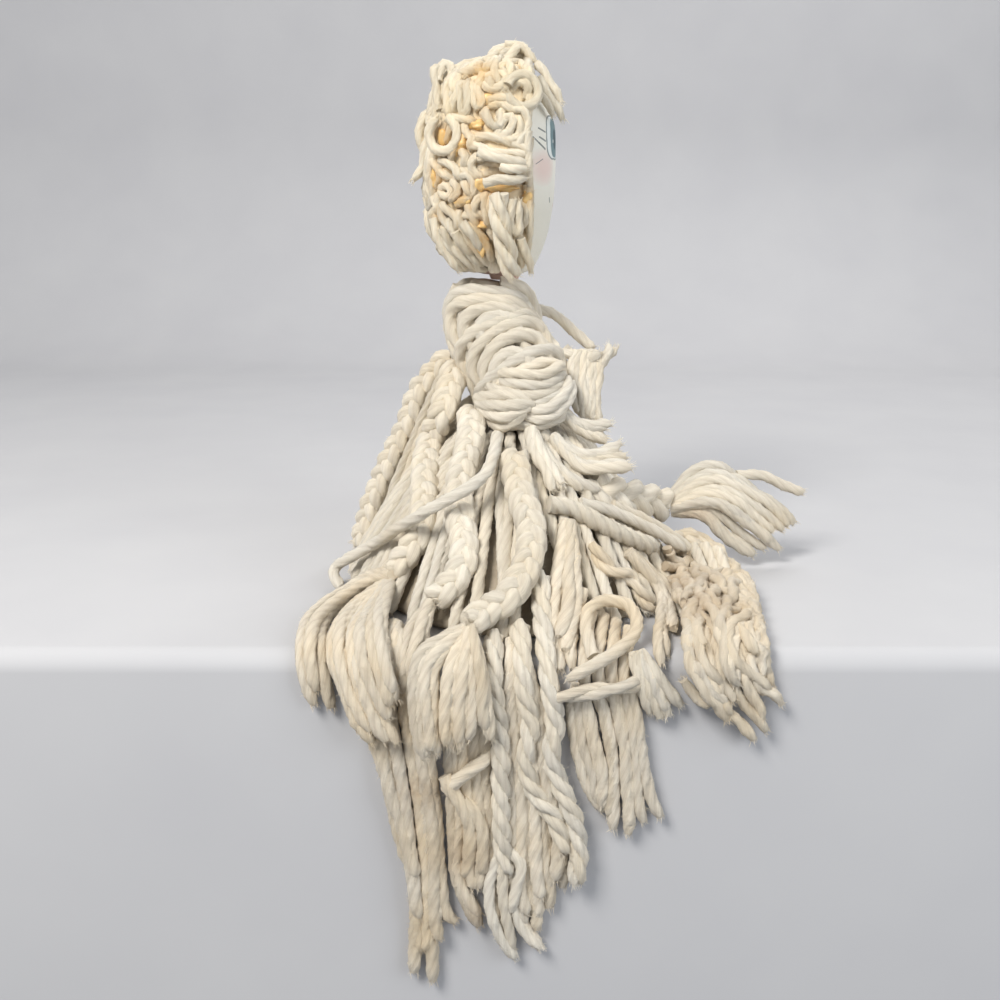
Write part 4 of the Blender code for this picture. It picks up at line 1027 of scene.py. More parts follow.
right_rope_places = [(549, 504, 6), (571, 508, 6), (592, 519, 6), (615, 531, 6), (638, 541, 6), (655, 547, 6)]
second_rope_places = [(594, 546, 5), (599, 557, 5), (612, 570, 5), (631, 579, 5), (641, 595, 5), (652, 607, 4)]
split_rope_places = (
    [(627, 553, 5), (642, 568, 5), (656, 583, 5), (661, 597, 4), (661, 618, 4), (658, 641, 4), (661, 664, 4)],
    [(628, 552, 5), (645, 568, 5), (660, 588, 5), (670, 606, 4), (674, 628, 4)],
    [(629, 551, 5), (650, 570, 5), (679, 600, 4), (695, 625, 4), (699, 643, 4)],
)
skein_places = [(664, 552, 8), (690, 562, 8), (712, 588, 8), (722, 622, 8), (728, 655, 8), (740, 690, 7),
                (752, 722, 6)]
skein_end_places = (
    [(716, 664, 6), (716, 690, 6), (706, 704, 6), (694, 694, 5), (684, 681, 5)],
    [(708, 668, 8), (711, 695, 8), (727, 712, 7), (740, 722, 6), (753, 738, 5)],
    [(728, 655, 8), (734, 685, 8), (744, 704, 7), (755, 715, 6), (766, 730, 5)],
    [(744, 640, 8), (752, 668, 8), (762, 690, 7), (773, 692, 6), (781, 704, 5)],
    [(736, 650, 9), (744, 676, 9), (752, 697, 8), (760, 706, 7), (762, 718, 6)],
)
beside_rope_places = (
    [(580, 503, -62), (603, 508, -58), (630, 519, -52), (658, 533, -44), (684, 548, -37)],
    [(612, 505, -51), (633, 514, -46), (655, 525, -41), (674, 537, -37), (692, 551, -34)],
    [(694, 547, -32), (700, 560, -44), (706, 578, -57)],
    [(705, 546, -34), (712, 561, -46), (719, 582, -59)],
    [(716, 550, -38), (723, 564, -50), (730, 588, -64)],
)

add_node_yarn("right_rope", [on_heap(right_rope_places)], rope_thickness / 2, pale_yarn, "right_lock", plies=3,
              turn_length=19 * mm, groove=0.17)
add_node_yarn("second_rope", twisted_routes(on_heap(second_rope_places), 2, 1.5 * mm, 24 * mm), 2.1 * mm, cream_yarn,
              "right_lock")
add_yarn("beside_rope_yarn", all_at_depths(beside_rope_places), yarn_radius, pale_yarn, "right_lock",
         ["unravelled_skein"])
split_routes = all_on_heap(split_rope_places)
add_node_yarn("split_rope", split_routes + filled(split_routes, 3), yarn_radius * 0.9, cream_yarn, "right_lock")

noise.seed_set(crimp_seed)
skein_walk = list(walked(even_points(on_heap(skein_places), skein_steps + 1)))
skein_routes = []
for n in range(skein_strand_count):
    across, deep = chance.uniform(-1, 1), chance.uniform(-0.8, 1) * 0.9
    drift, waves, start = chance.uniform(0.2, 0.55), chance.uniform(1, 3.2), chance.uniform(0, math.tau)
    first, last = int(chance.uniform(0, skein_half) ** 0.9), skein_steps - int(chance.uniform(0, 12))
    if n % 3 == 0:
        last = min(last, first + int(chance.uniform(16, 28)))
    astray = Vector((chance.uniform(0, 9), chance.uniform(0, 9), n))
    route = []
    for k in range(first, last):
        crimp = crimp_reach * (1.8 - 0.9 * max(k - skein_half, 0) / (skein_steps - skein_half))
        middle, ahead, gone = skein_walk[k]
        up = squared(outward_front, ahead)
        side = ahead.cross(up)
        place = k / skein_steps
        wide = skein_half_width * float(np.interp(place * 6, range(7), skein_width_shares)) - crimp_reach
        thick = min(skein_half_depth, wide / 1.4) - crimp_reach
        share = min(max(across + drift * math.sin(start + math.tau * waves * place), -1), 1)
        point = middle + side * share * wide + up * deep * thick * math.sqrt(1 - share * share)
        route.append(point + noise.noise_vector(point / crimp_length + astray) * crimp)
    skein_routes.append(route)
skein_routes += all_on_heap(skein_end_places)
skein_stains = [(place, skein_patch_reach) for place in on_heap(skein_patch_places)]
add_node_yarn("unravelled_skein", skein_routes, skein_strand_radius, cream_yarn, "right_lock", plies=2,
              turn_length=30 * mm, gap=1.9 * mm, fuzz=50000.0, stains=skein_stains)


# Corner tassels
# The tassel that hangs from the loop at the seat's right corner, the band across it and a shorter one beside it.

band_places = [(552, 696, 4), (562, 697, 8), (590, 692, 9), (612, 689, 9), (630, 686, 8), (641, 680, 4)]
hanging_tassel_places = (
    [(577, 684, 2), (572, 708, 2), (576, 745, 2), (588, 785, 2), (603, 810, 2)],
    [(583, 694, 3), (583, 702, 4), (586, 712, 4), (594, 745, 4), (602, 780, 4), (602, 806, 4)],
    [(596, 690, 3), (600, 700, 4), (606, 715, 4), (612, 750, 4), (614, 788, 4), (613, 828, 4)],
    [(612, 685, 3), (616, 696, 4), (621, 715, 4), (627, 755, 4), (630, 799, 4), (628, 833, 4)],
    [(627, 679, 3), (631, 694, 4), (636, 715, 4), (642, 758, 4), (650, 795, 4), (660, 816, 4)],
)
short_tassel_places = (
    [(633, 652, 5), (638, 672, 5), (643, 692, 5), (650, 712, 4)],
    [(635, 653, 6), (643, 676, 5), (651, 696, 5), (660, 716, 4)],
    [(637, 652, 5), (648, 672, 5), (658, 690, 5), (667, 714, 4)],
    [(639, 652, 5), (652, 668, 5), (664, 686, 5), (681, 705, 4)],
)
behind_loop_strands = {
    "body": ([(560, 590, 3), (553, 620, 3), (549, 650, 3), (553, 684, 2)],
             [(571, 583, 3), (563, 610, 3), (557, 640, 3), (561, 670, 2)],
             [(583, 590, 3), (576, 618, 3), (570, 648, 2), (573, 668, 1)]),
    "corner_lock": ([(592, 612, 2), (586, 640, 2), (584, 668, 2), (586, 690, 2)],
                    [(604, 616, 2), (600, 640, 2), (598, 668, 2), (600, 690, 2)],
                    [(616, 622, 2), (614, 645, 2), (611, 668, 2), (614, 690, 2)],
                    [(628, 630, 2), (627, 650, 2), (624, 670, 2), (627, 690, 2)]),
}
behind_loop_nodes = {"body": "skirt_bundle", "corner_lock": "hanging_tassel"}
for body, rows in behind_loop_strands.items():
    add_yarn("behind_loop_" + body, all_on_heap(rows), yarn_radius, cream_yarn, body, [behind_loop_nodes[body]])
add_node_yarn("tassel_band", twisted_routes(on_heap(band_places), 2, 1.2 * mm, 40 * mm), yarn_radius * 0.8, cream_yarn,
              "corner_lock")
corner_tassels = {"hanging_tassel": (hanging_tassel_places, 10, cream_yarn),
                  "short_tassel": (short_tassel_places, 5, pale_yarn)}
for name, (rows, count, finish) in corner_tassels.items():
    routes = all_on_heap(rows)
    add_node_yarn(name, routes + filled(routes, count - len(routes)), yarn_radius, finish, "corner_lock")


# Hanging yarn
# Three ropes of three yarns each and a dense hem of single yarns, which hang over the edge of the seat in two
# layers. The left rope comes undone at its end, and three strands cross the hem below the front tassel.

hanging_rope_radius = yarn_radius * 1.4
hem_yarn_radius = yarn_radius * 1.1

hanging_ropes = {
    "rope_right": [(541, 575, 5), (541, 605, 5), (545, 642, 5), (550, 690, 6), (555, 723, 6), (551, 756, 6),
                   (560, 785, 6), (574, 819, 6), (579, 850, 6), (576, 882, 6)],
    "rope_middle": [(520, 625, 5), (522, 655, 5), (524, 691, 6), (531, 723, 6), (525, 762, 6), (536, 793, 6),
                    (555, 819, 6), (565, 850, 6)],
    "rope_left": [(494, 635, 5), (493, 660, 5), (494, 691, 6), (500, 734, 6), (501, 778, 6), (501, 821, 6),
                  (503, 850, 6), (506, 872, 6)],
}
loosened_ends = {
    "rope_left": ([(501, 850, 6), (492, 872, 6), (489, 895, 6), (493, 920, 6), (503, 941, 5), (515, 957, 4)],
                  [(505, 852, 6), (502, 880, 6), (504, 905, 6), (509, 930, 5), (513, 948, 4)],
                  [(510, 852, 6), (521, 864, 7), (517, 886, 7), (511, 911, 6)],
                  [(510, 895, 5), (519, 922, 5), (530, 938, 5), (540, 947, 5)]),
}
for name, places in hanging_ropes.items():
    routes = twisted_routes(on_heap(places), 3, hanging_rope_radius * 0.5, 27 * mm)
    routes += all_on_heap(loosened_ends.get(name, ()))
    add_node_yarn(name, routes, hanging_rope_radius * 0.65, pale_yarn, "body")

hem_strands = {
    "hem_left": (
        [(392, 625, 4), (387, 644, 3), (382, 662, 3), (374, 690, 3), (383, 750, 3), (394, 810, 3), (404, 850, 3),
         (414, 880, 3), (416, 918, 3), (414, 971, 3)],
        [(393, 625, 4), (386, 644, 3), (378, 662, 3), (366, 690, 3), (372, 734, 3), (384, 768, 3), (398, 815, 3),
         (408, 850, 3)],
        [(395, 626, 4), (397, 644, 3), (400, 662, 3), (404, 700, 3), (418, 780, 3), (425, 864, 3), (430, 910, 3),
         (433, 980, 3)],
        [(397, 627, 4), (402, 644, 3), (408, 662, 3), (420, 700, 3), (434, 800, 3), (438, 853, 3), (444, 908, 3),
         (455, 921, 3)],
    ),
    "hem_crossing": (
        [(447, 791, 7), (456, 781, 8), (470, 770, 8), (484, 759, 7), (490, 750, 4)],
        [(444, 776, 7), (451, 790, 8), (462, 806, 8), (471, 828, 7), (470, 852, 6), (466, 876, 5)],
        [(462, 800, 7), (474, 812, 7), (482, 832, 7), (482, 862, 6), (484, 872, 5)],
    ),
    "hem_middle": (
        [(468, 641, 3), (463, 668, 3), (450, 720, 3), (452, 800, 3), (456, 871, 3), (466, 900, 3), (479, 925, 3)],
        [(470, 641, 3), (470, 668, 3), (470, 720, 3), (474, 790, 3), (474, 850, 3), (486, 885, 3)],
        [(472, 641, 3), (475, 668, 3), (484, 720, 3), (486, 800, 3), (490, 860, 3), (497, 918, 3), (503, 940, 3)],
    ),
    "hem_right": (
        [(512, 641, 3), (511, 668, 3), (508, 720, 3), (512, 800, 3), (512, 886, 3), (524, 925, 3), (539, 946, 3)],
        [(514, 641, 3), (515, 668, 3), (520, 740, 3), (526, 810, 3), (528, 875, 3), (535, 908, 3), (537, 928, 3)],
        [(516, 641, 3), (520, 668, 3), (534, 740, 3), (545, 820, 3), (547, 860, 3), (550, 906, 3)],
        [(518, 641, 3), (524, 668, 3), (545, 730, 3), (560, 830, 3), (563, 886, 3)],
    ),
    "inner_strands_right": (
        [(566, 522, 4), (560, 560, 4), (554, 600, 4), (551, 640, 4)],
        [(568, 522, 4), (574, 560, 4), (571, 605, 4), (565, 650, 4)],
    ),
}
hem_stains = [(place, 9 * mm) for place in on_heap([(459, 850, 3), (480, 915, 3), (421, 790, 3)])]
hem_counts = {"hem_left": 11, "hem_crossing": 3, "hem_middle": 8, "hem_right": 11, "inner_strands_right": 5}
for name, rows in hem_strands.items():
    routes = all_on_heap(rows)
    more = filled(routes, hem_counts[name] - len(routes), stray=1.8 * mm, lift=3.5 * mm, trim_share=0.3, wave=1.5 * mm)
    add_yarn(name + "_yarn", routes + more, hem_yarn_radius, cream_yarn, "body",
             ["hem_middle" if name == "hem_crossing" else name], stains=hem_stains)


# Far side
# Loose yarn from the waist down to the seat, over the far side of the heap.

back_lift = yarn_radius * 1.1
back_shares = (0.02, 0.25, 0.5, 0.75, 0.92)
back_groups = {"back_strands_right": (15, 30, 45, 60), "back_strands_middle": (78, 93, 108),
               "back_strands_left": (126, 141, 156)}
for name, angles in back_groups.items():
    middle = sum(angles) / len(angles)
    routes = []
    for angle in angles:
        root = heap_point(math.radians(middle + (angle - middle) / 6), back_shares[0], back_lift)
        routes.append([root] + [heap_point(math.radians(angle), share, back_lift) for share in back_shares[1:]])
    more = filled(routes, len(routes) * 3, stray=4 * mm, lift=0, trim_share=0.16, wave=3 * mm)
    add_node_yarn(name, routes + more, yarn_radius, pale_yarn, "body")


# Head
# A stuffed cloth head, 80 mm high, gathered at its neck and painted: a warm white face with a tall eye, dark lashes
# and a pink cheek on each side, and a small mouth in front.

head_height = 80 * mm
head_length = 48 * mm
head_width = 47 * mm
head_base = 130 * mm
head_face_roundness = 0.86
head_levels_share = (
    (0, 0.54, 0.46, 0.46), (0.08, 0.70, 0.72, 0.68), (0.20, 0.86, 0.90, 0.88), (0.38, 0.97, 1.0, 0.98),
    (0.58, 1.0, 1.0, 1.0), (0.78, 0.99, 0.93, 0.95), (0.90, 0.84, 0.80, 0.80), (0.97, 0.50, 0.50, 0.50),
    (1.0, 0.12, 0.12, 0.12))
paint_radius = 24 * mm


def head_half_sizes(level):
    """The head's reach to the front, the back and the side at a level, as shares of its half length and width."""
    levels = [row[0] for row in head_levels_share]
    return [float(np.interp(level, levels, [row[k] for row in head_levels_share])) for k in (1, 2, 3)]


def head_ring(level, away, sides=32):
    """Points round the head at a level, away from its cloth."""
    front, back, wide = head_half_sizes(level)
    height = head_base + head_height * level + away * (2 * level - 1)
    ring = []
    for n in range(sides):
        turn = math.tau * n / sides
        x = math.copysign(abs(math.cos(turn)) ** head_face_roundness, math.cos(turn))
        y = math.copysign(abs(math.sin(turn)) ** head_face_roundness, math.sin(turn))
        far = head_length / 2 * (front if x > 0 else back) + away
        ring.append(Vector((far * x, (head_width / 2 * wide + away) * y, height)))
    return ring


def painted_cloth(name):
    """Warm white paint on cloth, with the face's painted features and faint creases."""
    made, tree, shader, place = new_finish(name, 0.55)
    parts = put(tree, "ShaderNodeSeparateXYZ", {0: place})
    side = maths(tree, "ABSOLUTE", maths(tree, "ARCTAN2", parts["Y"], parts["X"]))
    around = maths(tree, "MULTIPLY", side, paint_radius)
    shake = maths(tree, "MULTIPLY", maths(tree, "SUBTRACT", blotches(tree, place, 320.0, 2.0), 0.5), 0.9 * mm)

    def oval(centre_around, centre_height, half_around, half_height, soft, power):
        """1 inside an oval patch of the face and 0 outside it."""
        across = maths(tree, "DIVIDE", maths(tree, "ADD", maths(tree, "SUBTRACT", around, centre_around), shake),
                       half_around)
        up = maths(tree, "DIVIDE", maths(tree, "ADD", maths(tree, "SUBTRACT", parts["Z"], centre_height), shake),
                   half_height)
        far = maths(tree, "ADD", maths(tree, "POWER", maths(tree, "ABSOLUTE", across), power),
                    maths(tree, "POWER", maths(tree, "ABSOLUTE", up), power))
        return put(tree, "ShaderNodeMapRange", {0: far, 1: 1 - soft, 2: 1 + soft, 3: 1.0, 4: 0.0})[0]

    def stroke(start, end, half_width):
        """1 on a thin painted line between two (around, height) places."""
        run = (end[0] - start[0], end[1] - start[1])
        length = math.hypot(*run)
        ahead = (run[0] / length, run[1] / length)
        from_x = maths(tree, "SUBTRACT", around, start[0])
        from_z = maths(tree, "SUBTRACT", parts["Z"], start[1])
        along = maths(tree, "ADD", maths(tree, "MULTIPLY", from_x, ahead[0]), maths(tree, "MULTIPLY", from_z, ahead[1]))
        along = put(tree, "ShaderNodeClamp", {0: along, 1: 0.0, 2: length})[0]
        off_x = maths(tree, "SUBTRACT", from_x, maths(tree, "MULTIPLY", along, ahead[0]))
        off_z = maths(tree, "SUBTRACT", from_z, maths(tree, "MULTIPLY", along, ahead[1]))
        far = maths(tree, "ADD", maths(tree, "POWER", off_x, 2.0), maths(tree, "POWER", off_z, 2.0))
        far = maths(tree, "SQRT", far)
        return put(tree, "ShaderNodeMapRange", {0: far, 1: half_width * 0.7, 2: half_width * 1.3, 3: 1.0, 4: 0.0})[0]

    def laid(colour, mask, strength, under):
        """Paint of one colour laid over another where a mask says."""
        return mixed(tree, maths(tree, "MULTIPLY", mask, strength), under, colour)

    colour = mixed(tree, blotches(tree, place, 60.0, 3.0), (0.88, 0.86, 0.76), (0.94, 0.91, 0.82))
    low = put(tree, "ShaderNodeMapRange", {0: parts["Z"], 1: 176 * mm, 2: 156 * mm, 3: 0.0, 4: 0.9})[0]
    colour = laid((0.78, 0.75, 0.65), low, 1.0, colour)
    # Painted shade: a reddish-brown darkening round the sides and back of the head's foot, under the chin, where the
    # head sits over the neck.
    chin_shade = put(tree, "ShaderNodeMapRange", {0: parts["Z"], 1: 142 * mm, 2: 134 * mm, 3: 0.0, 4: 1.0})[0]
    chin_shade_back = put(tree, "ShaderNodeMapRange", {0: parts["X"], 1: 10 * mm, 2: 4 * mm, 3: 0.0, 4: 1.0})[0]
    colour = laid((0.58, 0.38, 0.31), maths(tree, "MULTIPLY", chin_shade, chin_shade_back), 0.9, colour)
    for features in face_features["patches"]:
        colour = laid(features[6], oval(*features[:6]), features[7], colour)
    for start, end, half_width in face_features["lines"]:
        colour = laid((0.10, 0.12, 0.12), stroke(start, end, half_width), 0.8, colour)

    upright = put(tree, "ShaderNodeMapping", {"Vector": place, "Scale": (1.0, 1.0, 0.35)})[0]
    creases = maths(tree, "MULTIPLY", blotches(tree, upright, 130.0, 3.0), low)
    wear(tree, shader, colour, scaled(tree, blotches(tree, place, 900.0, 2.0), 0.25, creases), 0.6, 1.2 * mm)
    return made


def on_head(u, v, away=0.0):
    """The nearest point of the head's skin, or of a skin away from it, that shows at pixel (u, v)."""
    best, nearest = seen_at(u, v, 0), 3.0
    depth = -45 * mm
    while depth < 30 * mm:
        point = seen_at(u, v, depth)
        level = (point.z - head_base + away) / (head_height + 2 * away)
        if 0 <= level <= 1:
            front, back, wide = head_half_sizes(level)
            far = head_length / 2 * (front if point.x > 0 else back) + away
            power = 2 / head_face_roundness
            out = abs(point.x / far) ** power + abs(point.y / (head_width / 2 * wide + away)) ** power
            if out < 1:
                return point
            if out < nearest:
                best, nearest = point, out
        depth += sight_step
    return best


def face_place(u, v):
    """The (around, height) place of the face's paint that shows at pixel (u, v)."""
    point = on_head(u, v)
    return paint_radius * abs(math.atan2(point.y, point.x)), point.z


eye_middle = 186.6 * mm
face_features = {
    "patches": (
        (17.5 * mm, 174.5 * mm, 6.5 * mm, 6 * mm, 0.9, 2.0, (0.80, 0.46, 0.42), 0.45),
        (8.4 * mm, eye_middle, 7.6 * mm, 8.9 * mm, 0.07, 3.4, (0.10, 0.14, 0.15), 0.9),
        (8.5 * mm, eye_middle, 6.9 * mm, 8.3 * mm, 0.07, 3.4, (0.84, 0.88, 0.85), 1.0),
        (7.8 * mm, eye_middle, 4.8 * mm, 7.9 * mm, 0.10, 3.0, (0.13, 0.22, 0.24), 0.92),
        (7.4 * mm, eye_middle - 0.5 * mm, 2.1 * mm, 4.2 * mm, 0.25, 2.4, (0.05, 0.08, 0.09), 0.85),
        # The next patch is a painted highlight: a small pale dot in the iris.
        (9.9 * mm, 185.2 * mm, 0.5 * mm, 0.8 * mm, 0.3, 2.0, (0.85, 0.88, 0.85), 0.95),
        (0, 159.5 * mm, 4.4 * mm, 1.5 * mm, 0.3, 2.0, (0.56, 0.20, 0.18), 0.75),
    ),
    "lines": (
        (face_place(539, 128), face_place(545.5, 132), 0.32 * mm),
        (face_place(540, 137), face_place(545.5, 141), 0.34 * mm),
        (face_place(533, 137), face_place(539, 143), 0.30 * mm),
        (face_place(539, 143), face_place(545.5, 149), 0.38 * mm),
        (face_place(536, 164), face_place(543, 159), 0.16 * mm),
        ((12.4 * mm, 162.2 * mm), (11.6 * mm, 160.6 * mm), 0.35 * mm),
    ),
}

gathered_share = 0.9
head_skin_levels = [row[0] for row in head_levels_share]
head_rings = [[Vector((point.x * gathered_share, point.y * gathered_share, point.z)) for point in head_ring(0, 0)]]
for low, high in zip(head_skin_levels, head_skin_levels[1:]):
    for share in (0.5, 1.0):
        head_rings.append(head_ring(low + (high - low) * share, 0))
head_skin = skin_over("head_skin", head_rings, painted_cloth("painted_cloth"), levels=2)
puff_voxel = 2.6 * mm
puff_limit = 1.3 * mm
loose = into_scene("loose_head_skin", head_skin.data.copy())
remesh = loose.modifiers.new("remesh", "REMESH")
remesh.mode, remesh.voxel_size = "VOXEL", puff_voxel
loose.data = settled_mesh(loose)
loose.modifiers.clear()
before = [vert.co.copy() for vert in loose.data.vertices]
cloth = loose.modifiers.new("cloth", "CLOTH")
cloth.settings.use_pressure = True
cloth.settings.uniform_pressure_force = 4
cloth.settings.effector_weights.gravity = 0
for number in range(1, 21):
    bpy.context.scene.frame_set(number)
puffed = settled_mesh(loose)
bpy.context.scene.frame_set(1)
for vert, start in zip(puffed.vertices, before):
    move = vert.co - start
    vert.co = start + move * min(1, puff_limit / max(move.length, 0.01 * mm))
loose.modifiers.clear()
loose.data = puffed
loose.modifiers.new("smooth", "SUBSURF").levels = 1
smoothed = settled_mesh(loose)
bpy.data.objects.remove(loose)
smoothed.shade_smooth()
head_skin.data = smoothed
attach(head_skin, "head")
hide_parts("head_cover", "head_stuffing")


# Neck
# A rolled cloth stem, 12 mm thick, with a rounded end inside the head.

neck_radius = 8.5 * mm
neck_x = 2 * mm
neck_ball_height = head_base + 5 * mm
stem_radius = neck_radius * 0.72
neck_profile = [(torso_top + 0.3 * mm, stem_radius), (neck_ball_height - neck_radius * 0.78, stem_radius)]
for turn in (-35, -18, 0, 18, 36, 54, 72, 85):
    neck_profile.append((neck_ball_height + neck_radius * math.sin(math.radians(turn)),
                         neck_radius * math.cos(math.radians(turn))))
neck_rings = [[Vector((neck_x + far * math.cos(math.tau * n / 24), far * math.sin(math.tau * n / 24), height))
               for n in range(24)] for height, far in neck_profile]
neck_finish = packed_finish("neck_finish", (0.76, 0.56, 0.46), (0.62, 0.40, 0.32))
neck = skin_over("neck_stem", neck_rings, neck_finish)
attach(neck, "neck")
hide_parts("neck_roll")


# Hair
# Loops and curls of cream yarn, 3.8 mm thick, glued in two layers over a matted base, from the crown to the nape.
# Lumps of yellowed glue show between them.

hair_depth = 9 * mm
hairline = 11.5 * mm
hair_radius = 1.9 * mm
hair_base_height = 131.2 * mm
hair_depth_shares = (0.2, 0.45, 0.85, 1, 1, 1, 1, 1, 1.1)
hair_turn_length = 26 * mm
hair_groove = 0.08
lock_ring_gap = 1.4 * mm
hair_finish = yarn_finish("hair_yarn", (0.98, 0.90, 0.735), (0.82, 0.68, 0.48), (0.97, 0.90, 0.73),
                          (0.80, 0.48, 0.14))
# The matted base is glue-yellowed yarn, and its deeper colour is also painted shade under the loops.
mat_finish = packed_finish("matted_hair", (0.90, 0.79, 0.58), (0.68, 0.51, 0.30))
nape_height = 20 * mm


def drawn_in(point):
    """A point of the hair, drawn in towards the neck where it is low at the back."""
    low = max(0, 1 - (point.z - hair_base_height) / nape_height) ** 2
    return Vector((point.x * (1 - 0.36 * low), point.y * (1 - 0.16 * low), point.z)) if point.x < 0 else point


mat_rings = []
for (level, *_), share in zip(head_levels_share[1:], hair_depth_shares[1:]):
    ring = head_ring(level, hair_depth * share - 3.2 * mm, 40)
    mat_rings.append([Vector((min(point.x, hairline - 1.5 * mm), point.y, max(point.z, hair_base_height)))
                      for point in ring])
mat_rings = [[drawn_in(point) for point in ring] for ring in mat_rings]
hair_mat = skin_over("hair_base", mat_rings, mat_finish, levels=2)
for vert in hair_mat.data.vertices:
    vert.co += vert.normal * 1.6 * mm * noise.noise(vert.co * 190)
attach(hair_mat, "head")
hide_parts("hair_mat", "glue_coat")

hair_strokes = (
    ((448, 83), (447, 96), (448, 110), (449, 117)), ((452, 72), (453, 86), (455, 93)),
    ((458, 86), (460, 94), (461, 105), (463, 115), (467, 111), (468, 100), (467, 90), (467, 83)),
    ((472, 86), (474, 94), (474, 104), (477, 109), (482, 103), (479, 94), (476, 86)),
    ((457, 73), (466, 72), (475, 70), (484, 72), (489, 66), (494, 62)),
    ((456, 69), (466, 64), (477, 62), (488, 60), (497, 53), (505, 50), (514, 49)),
    ((518, 48), (525, 49), (533, 54), (538, 62), (540, 72), (538, 79)),
    ((495, 65), (503, 57), (514, 55), (525, 58), (532, 65), (535, 76)),
    ((499, 69), (508, 63), (519, 63), (528, 70), (533, 79)), ((484, 78), (492, 76), (500, 74), (508, 78), (506, 86)),
    ((485, 86), (492, 90), (501, 87), (505, 81)), ((488, 101), (497, 98), (505, 97), (511, 101)),
    ((492, 105), (501, 103), (508, 107), (514, 110)),
    ((485, 111), (488, 120), (492, 126), (499, 126), (502, 120), (500, 114)),
    ((497, 134), (500, 125), (505, 118), (512, 116), (514, 122), (510, 130), (503, 136), (498, 136)),
    ((514, 109), (522, 109), (527, 116), (528, 124), (524, 132), (519, 140), (519, 146)),
    ((518, 118), (521, 126), (518, 135), (512, 141), (504, 138)), ((452, 118), (461, 119), (471, 121)),
    ((426, 115), (422, 124), (419, 134), (422, 144), (425, 154), (426, 161)),
    ((457, 125), (458, 133), (456, 142), (453, 151), (451, 159)), ((464, 127), (467, 134), (472, 138), (470, 146)),
    ((428, 155), (434, 163), (439, 170), (446, 176)),
    ((475, 138), (486, 136), (497, 138), (508, 142), (518, 145), (526, 148), (527, 154)),
    ((471, 145), (480, 147), (488, 151), (499, 153), (512, 153), (525, 155)),
    ((480, 158), (490, 155), (501, 157), (510, 160), (513, 167), (507, 171)),
    ((485, 174), (495, 171), (503, 174), (514, 172), (525, 173)), ((464, 170), (471, 173), (477, 178)),
    ((461, 178), (464, 173), (471, 177), (474, 184), (473, 192), (468, 199), (457, 204)),
    ((462, 181), (466, 186), (469, 193)), ((441, 189), (446, 185), (451, 189), (450, 195), (445, 197), (440, 193)),
    ((453, 182), (458, 188), (457, 194), (451, 199)), ((429, 182), (432, 195), (437, 206), (438, 212)),
    ((437, 197), (439, 206), (442, 216), (448, 225), (453, 231)), ((442, 206), (451, 212), (457, 220), (458, 228)),
    ((464, 216), (472, 215), (477, 217)), ((471, 225), (478, 233), (484, 241), (485, 247)),
    ((432, 212), (432, 223), (434, 234), (436, 240)), ((475, 157), (470, 165), (474, 172), (482, 176)),
    ((485, 196), (484, 206), (486, 216), (488, 224)), ((440, 160), (448, 163), (455, 168), (458, 176)),
    ((461, 150), (466, 157), (464, 166)), ((476, 200), (474, 209), (479, 215), (486, 216)),
    ((523, 204), (525, 214), (524, 224)), ((518, 233), (520, 244), (519, 254), (522, 264)),
    ((458, 214), (462, 226), (468, 240), (476, 252), (483, 262)), ((449, 222), (455, 236), (463, 250), (471, 262)),
    ((468, 206), (474, 220), (480, 234), (486, 246), (488, 257)), ((441, 230), (447, 244), (455, 257), (462, 266)),
    ((436, 216), (438, 230), (444, 243), (450, 255)), ((498, 232), (499, 244), (500, 256), (503, 266)),
    ((492, 199), (489, 210), (490, 222)), ((505, 198), (504, 212), (506, 226)),
)


def tucked(route, dip=3 * mm):
    """A route whose ends dip under the hair beside them."""
    ends = []
    for end, beside in ((route[0], route[1]), (route[-1], route[-2])):
        outward = Vector((end.x, end.y, 0)).normalized()
        ends.append(end + (end - beside).normalized() * 1.5 * mm - outward * dip)
    return [ends[0], *route, ends[1]]


def over_hair(turn, level, away):
    """The point away from the head's cloth, at an angle round it and a level."""
    front, back, wide = head_half_sizes(min(max(level, 0), 1))
    far = head_length / 2 * (front if math.cos(turn) > 0 else back) + away
    return Vector((min(far * math.cos(turn), hairline), (head_width / 2 * wide + away) * math.sin(turn),
                   max(head_base + head_height * level + away * (2 * level - 1), hair_base_height + hair_radius)))


hair_routes = []
for stroke_places in hair_strokes:
    route = [on_head(u, v, hair_depth - hair_radius + chance.uniform(-0.8, 0.6) * mm) for u, v in stroke_places]
    for point in route:
        point.x = min(point.x, hairline + 0.5 * mm)
    hair_routes.append(tucked(route))
    mirrored = [Vector((point.x - 1 * mm, -point.y + chance.uniform(-0.5, 0.3) * mm, point.z + 1 * mm))
                for point in route]
    hair_routes.append(tucked(mirrored))
for n in range(170):
    level, turn = chance.uniform(0.05, 0.97), math.radians(chance.uniform(62, 298))
    away = hair_depth - hair_radius - 2.2 * mm
    if n < 60:
        turn, away = math.radians(chance.uniform(138, 222)), hair_depth - hair_radius
    elif n < 84:
        level, away = chance.uniform(0.9, 0.97), hair_depth - hair_radius - 0.6 * mm
    curl, start, sweep = chance.uniform(3.5, 7) * mm, chance.uniform(0, math.tau), chance.uniform(2.5, 5.5)
    route = []
    for k in range(9):
        swing = start + sweep * k / 8
        at_level = min(max(level + curl * math.sin(swing) / head_height, 0.04), 1)
        lift = 0.8 * mm * math.sin(2.3 * swing)
        route.append(over_hair(turn + curl * math.cos(swing) / (head_length / 2 + away), at_level, away + lift))
    hair_routes.append(tucked(route))
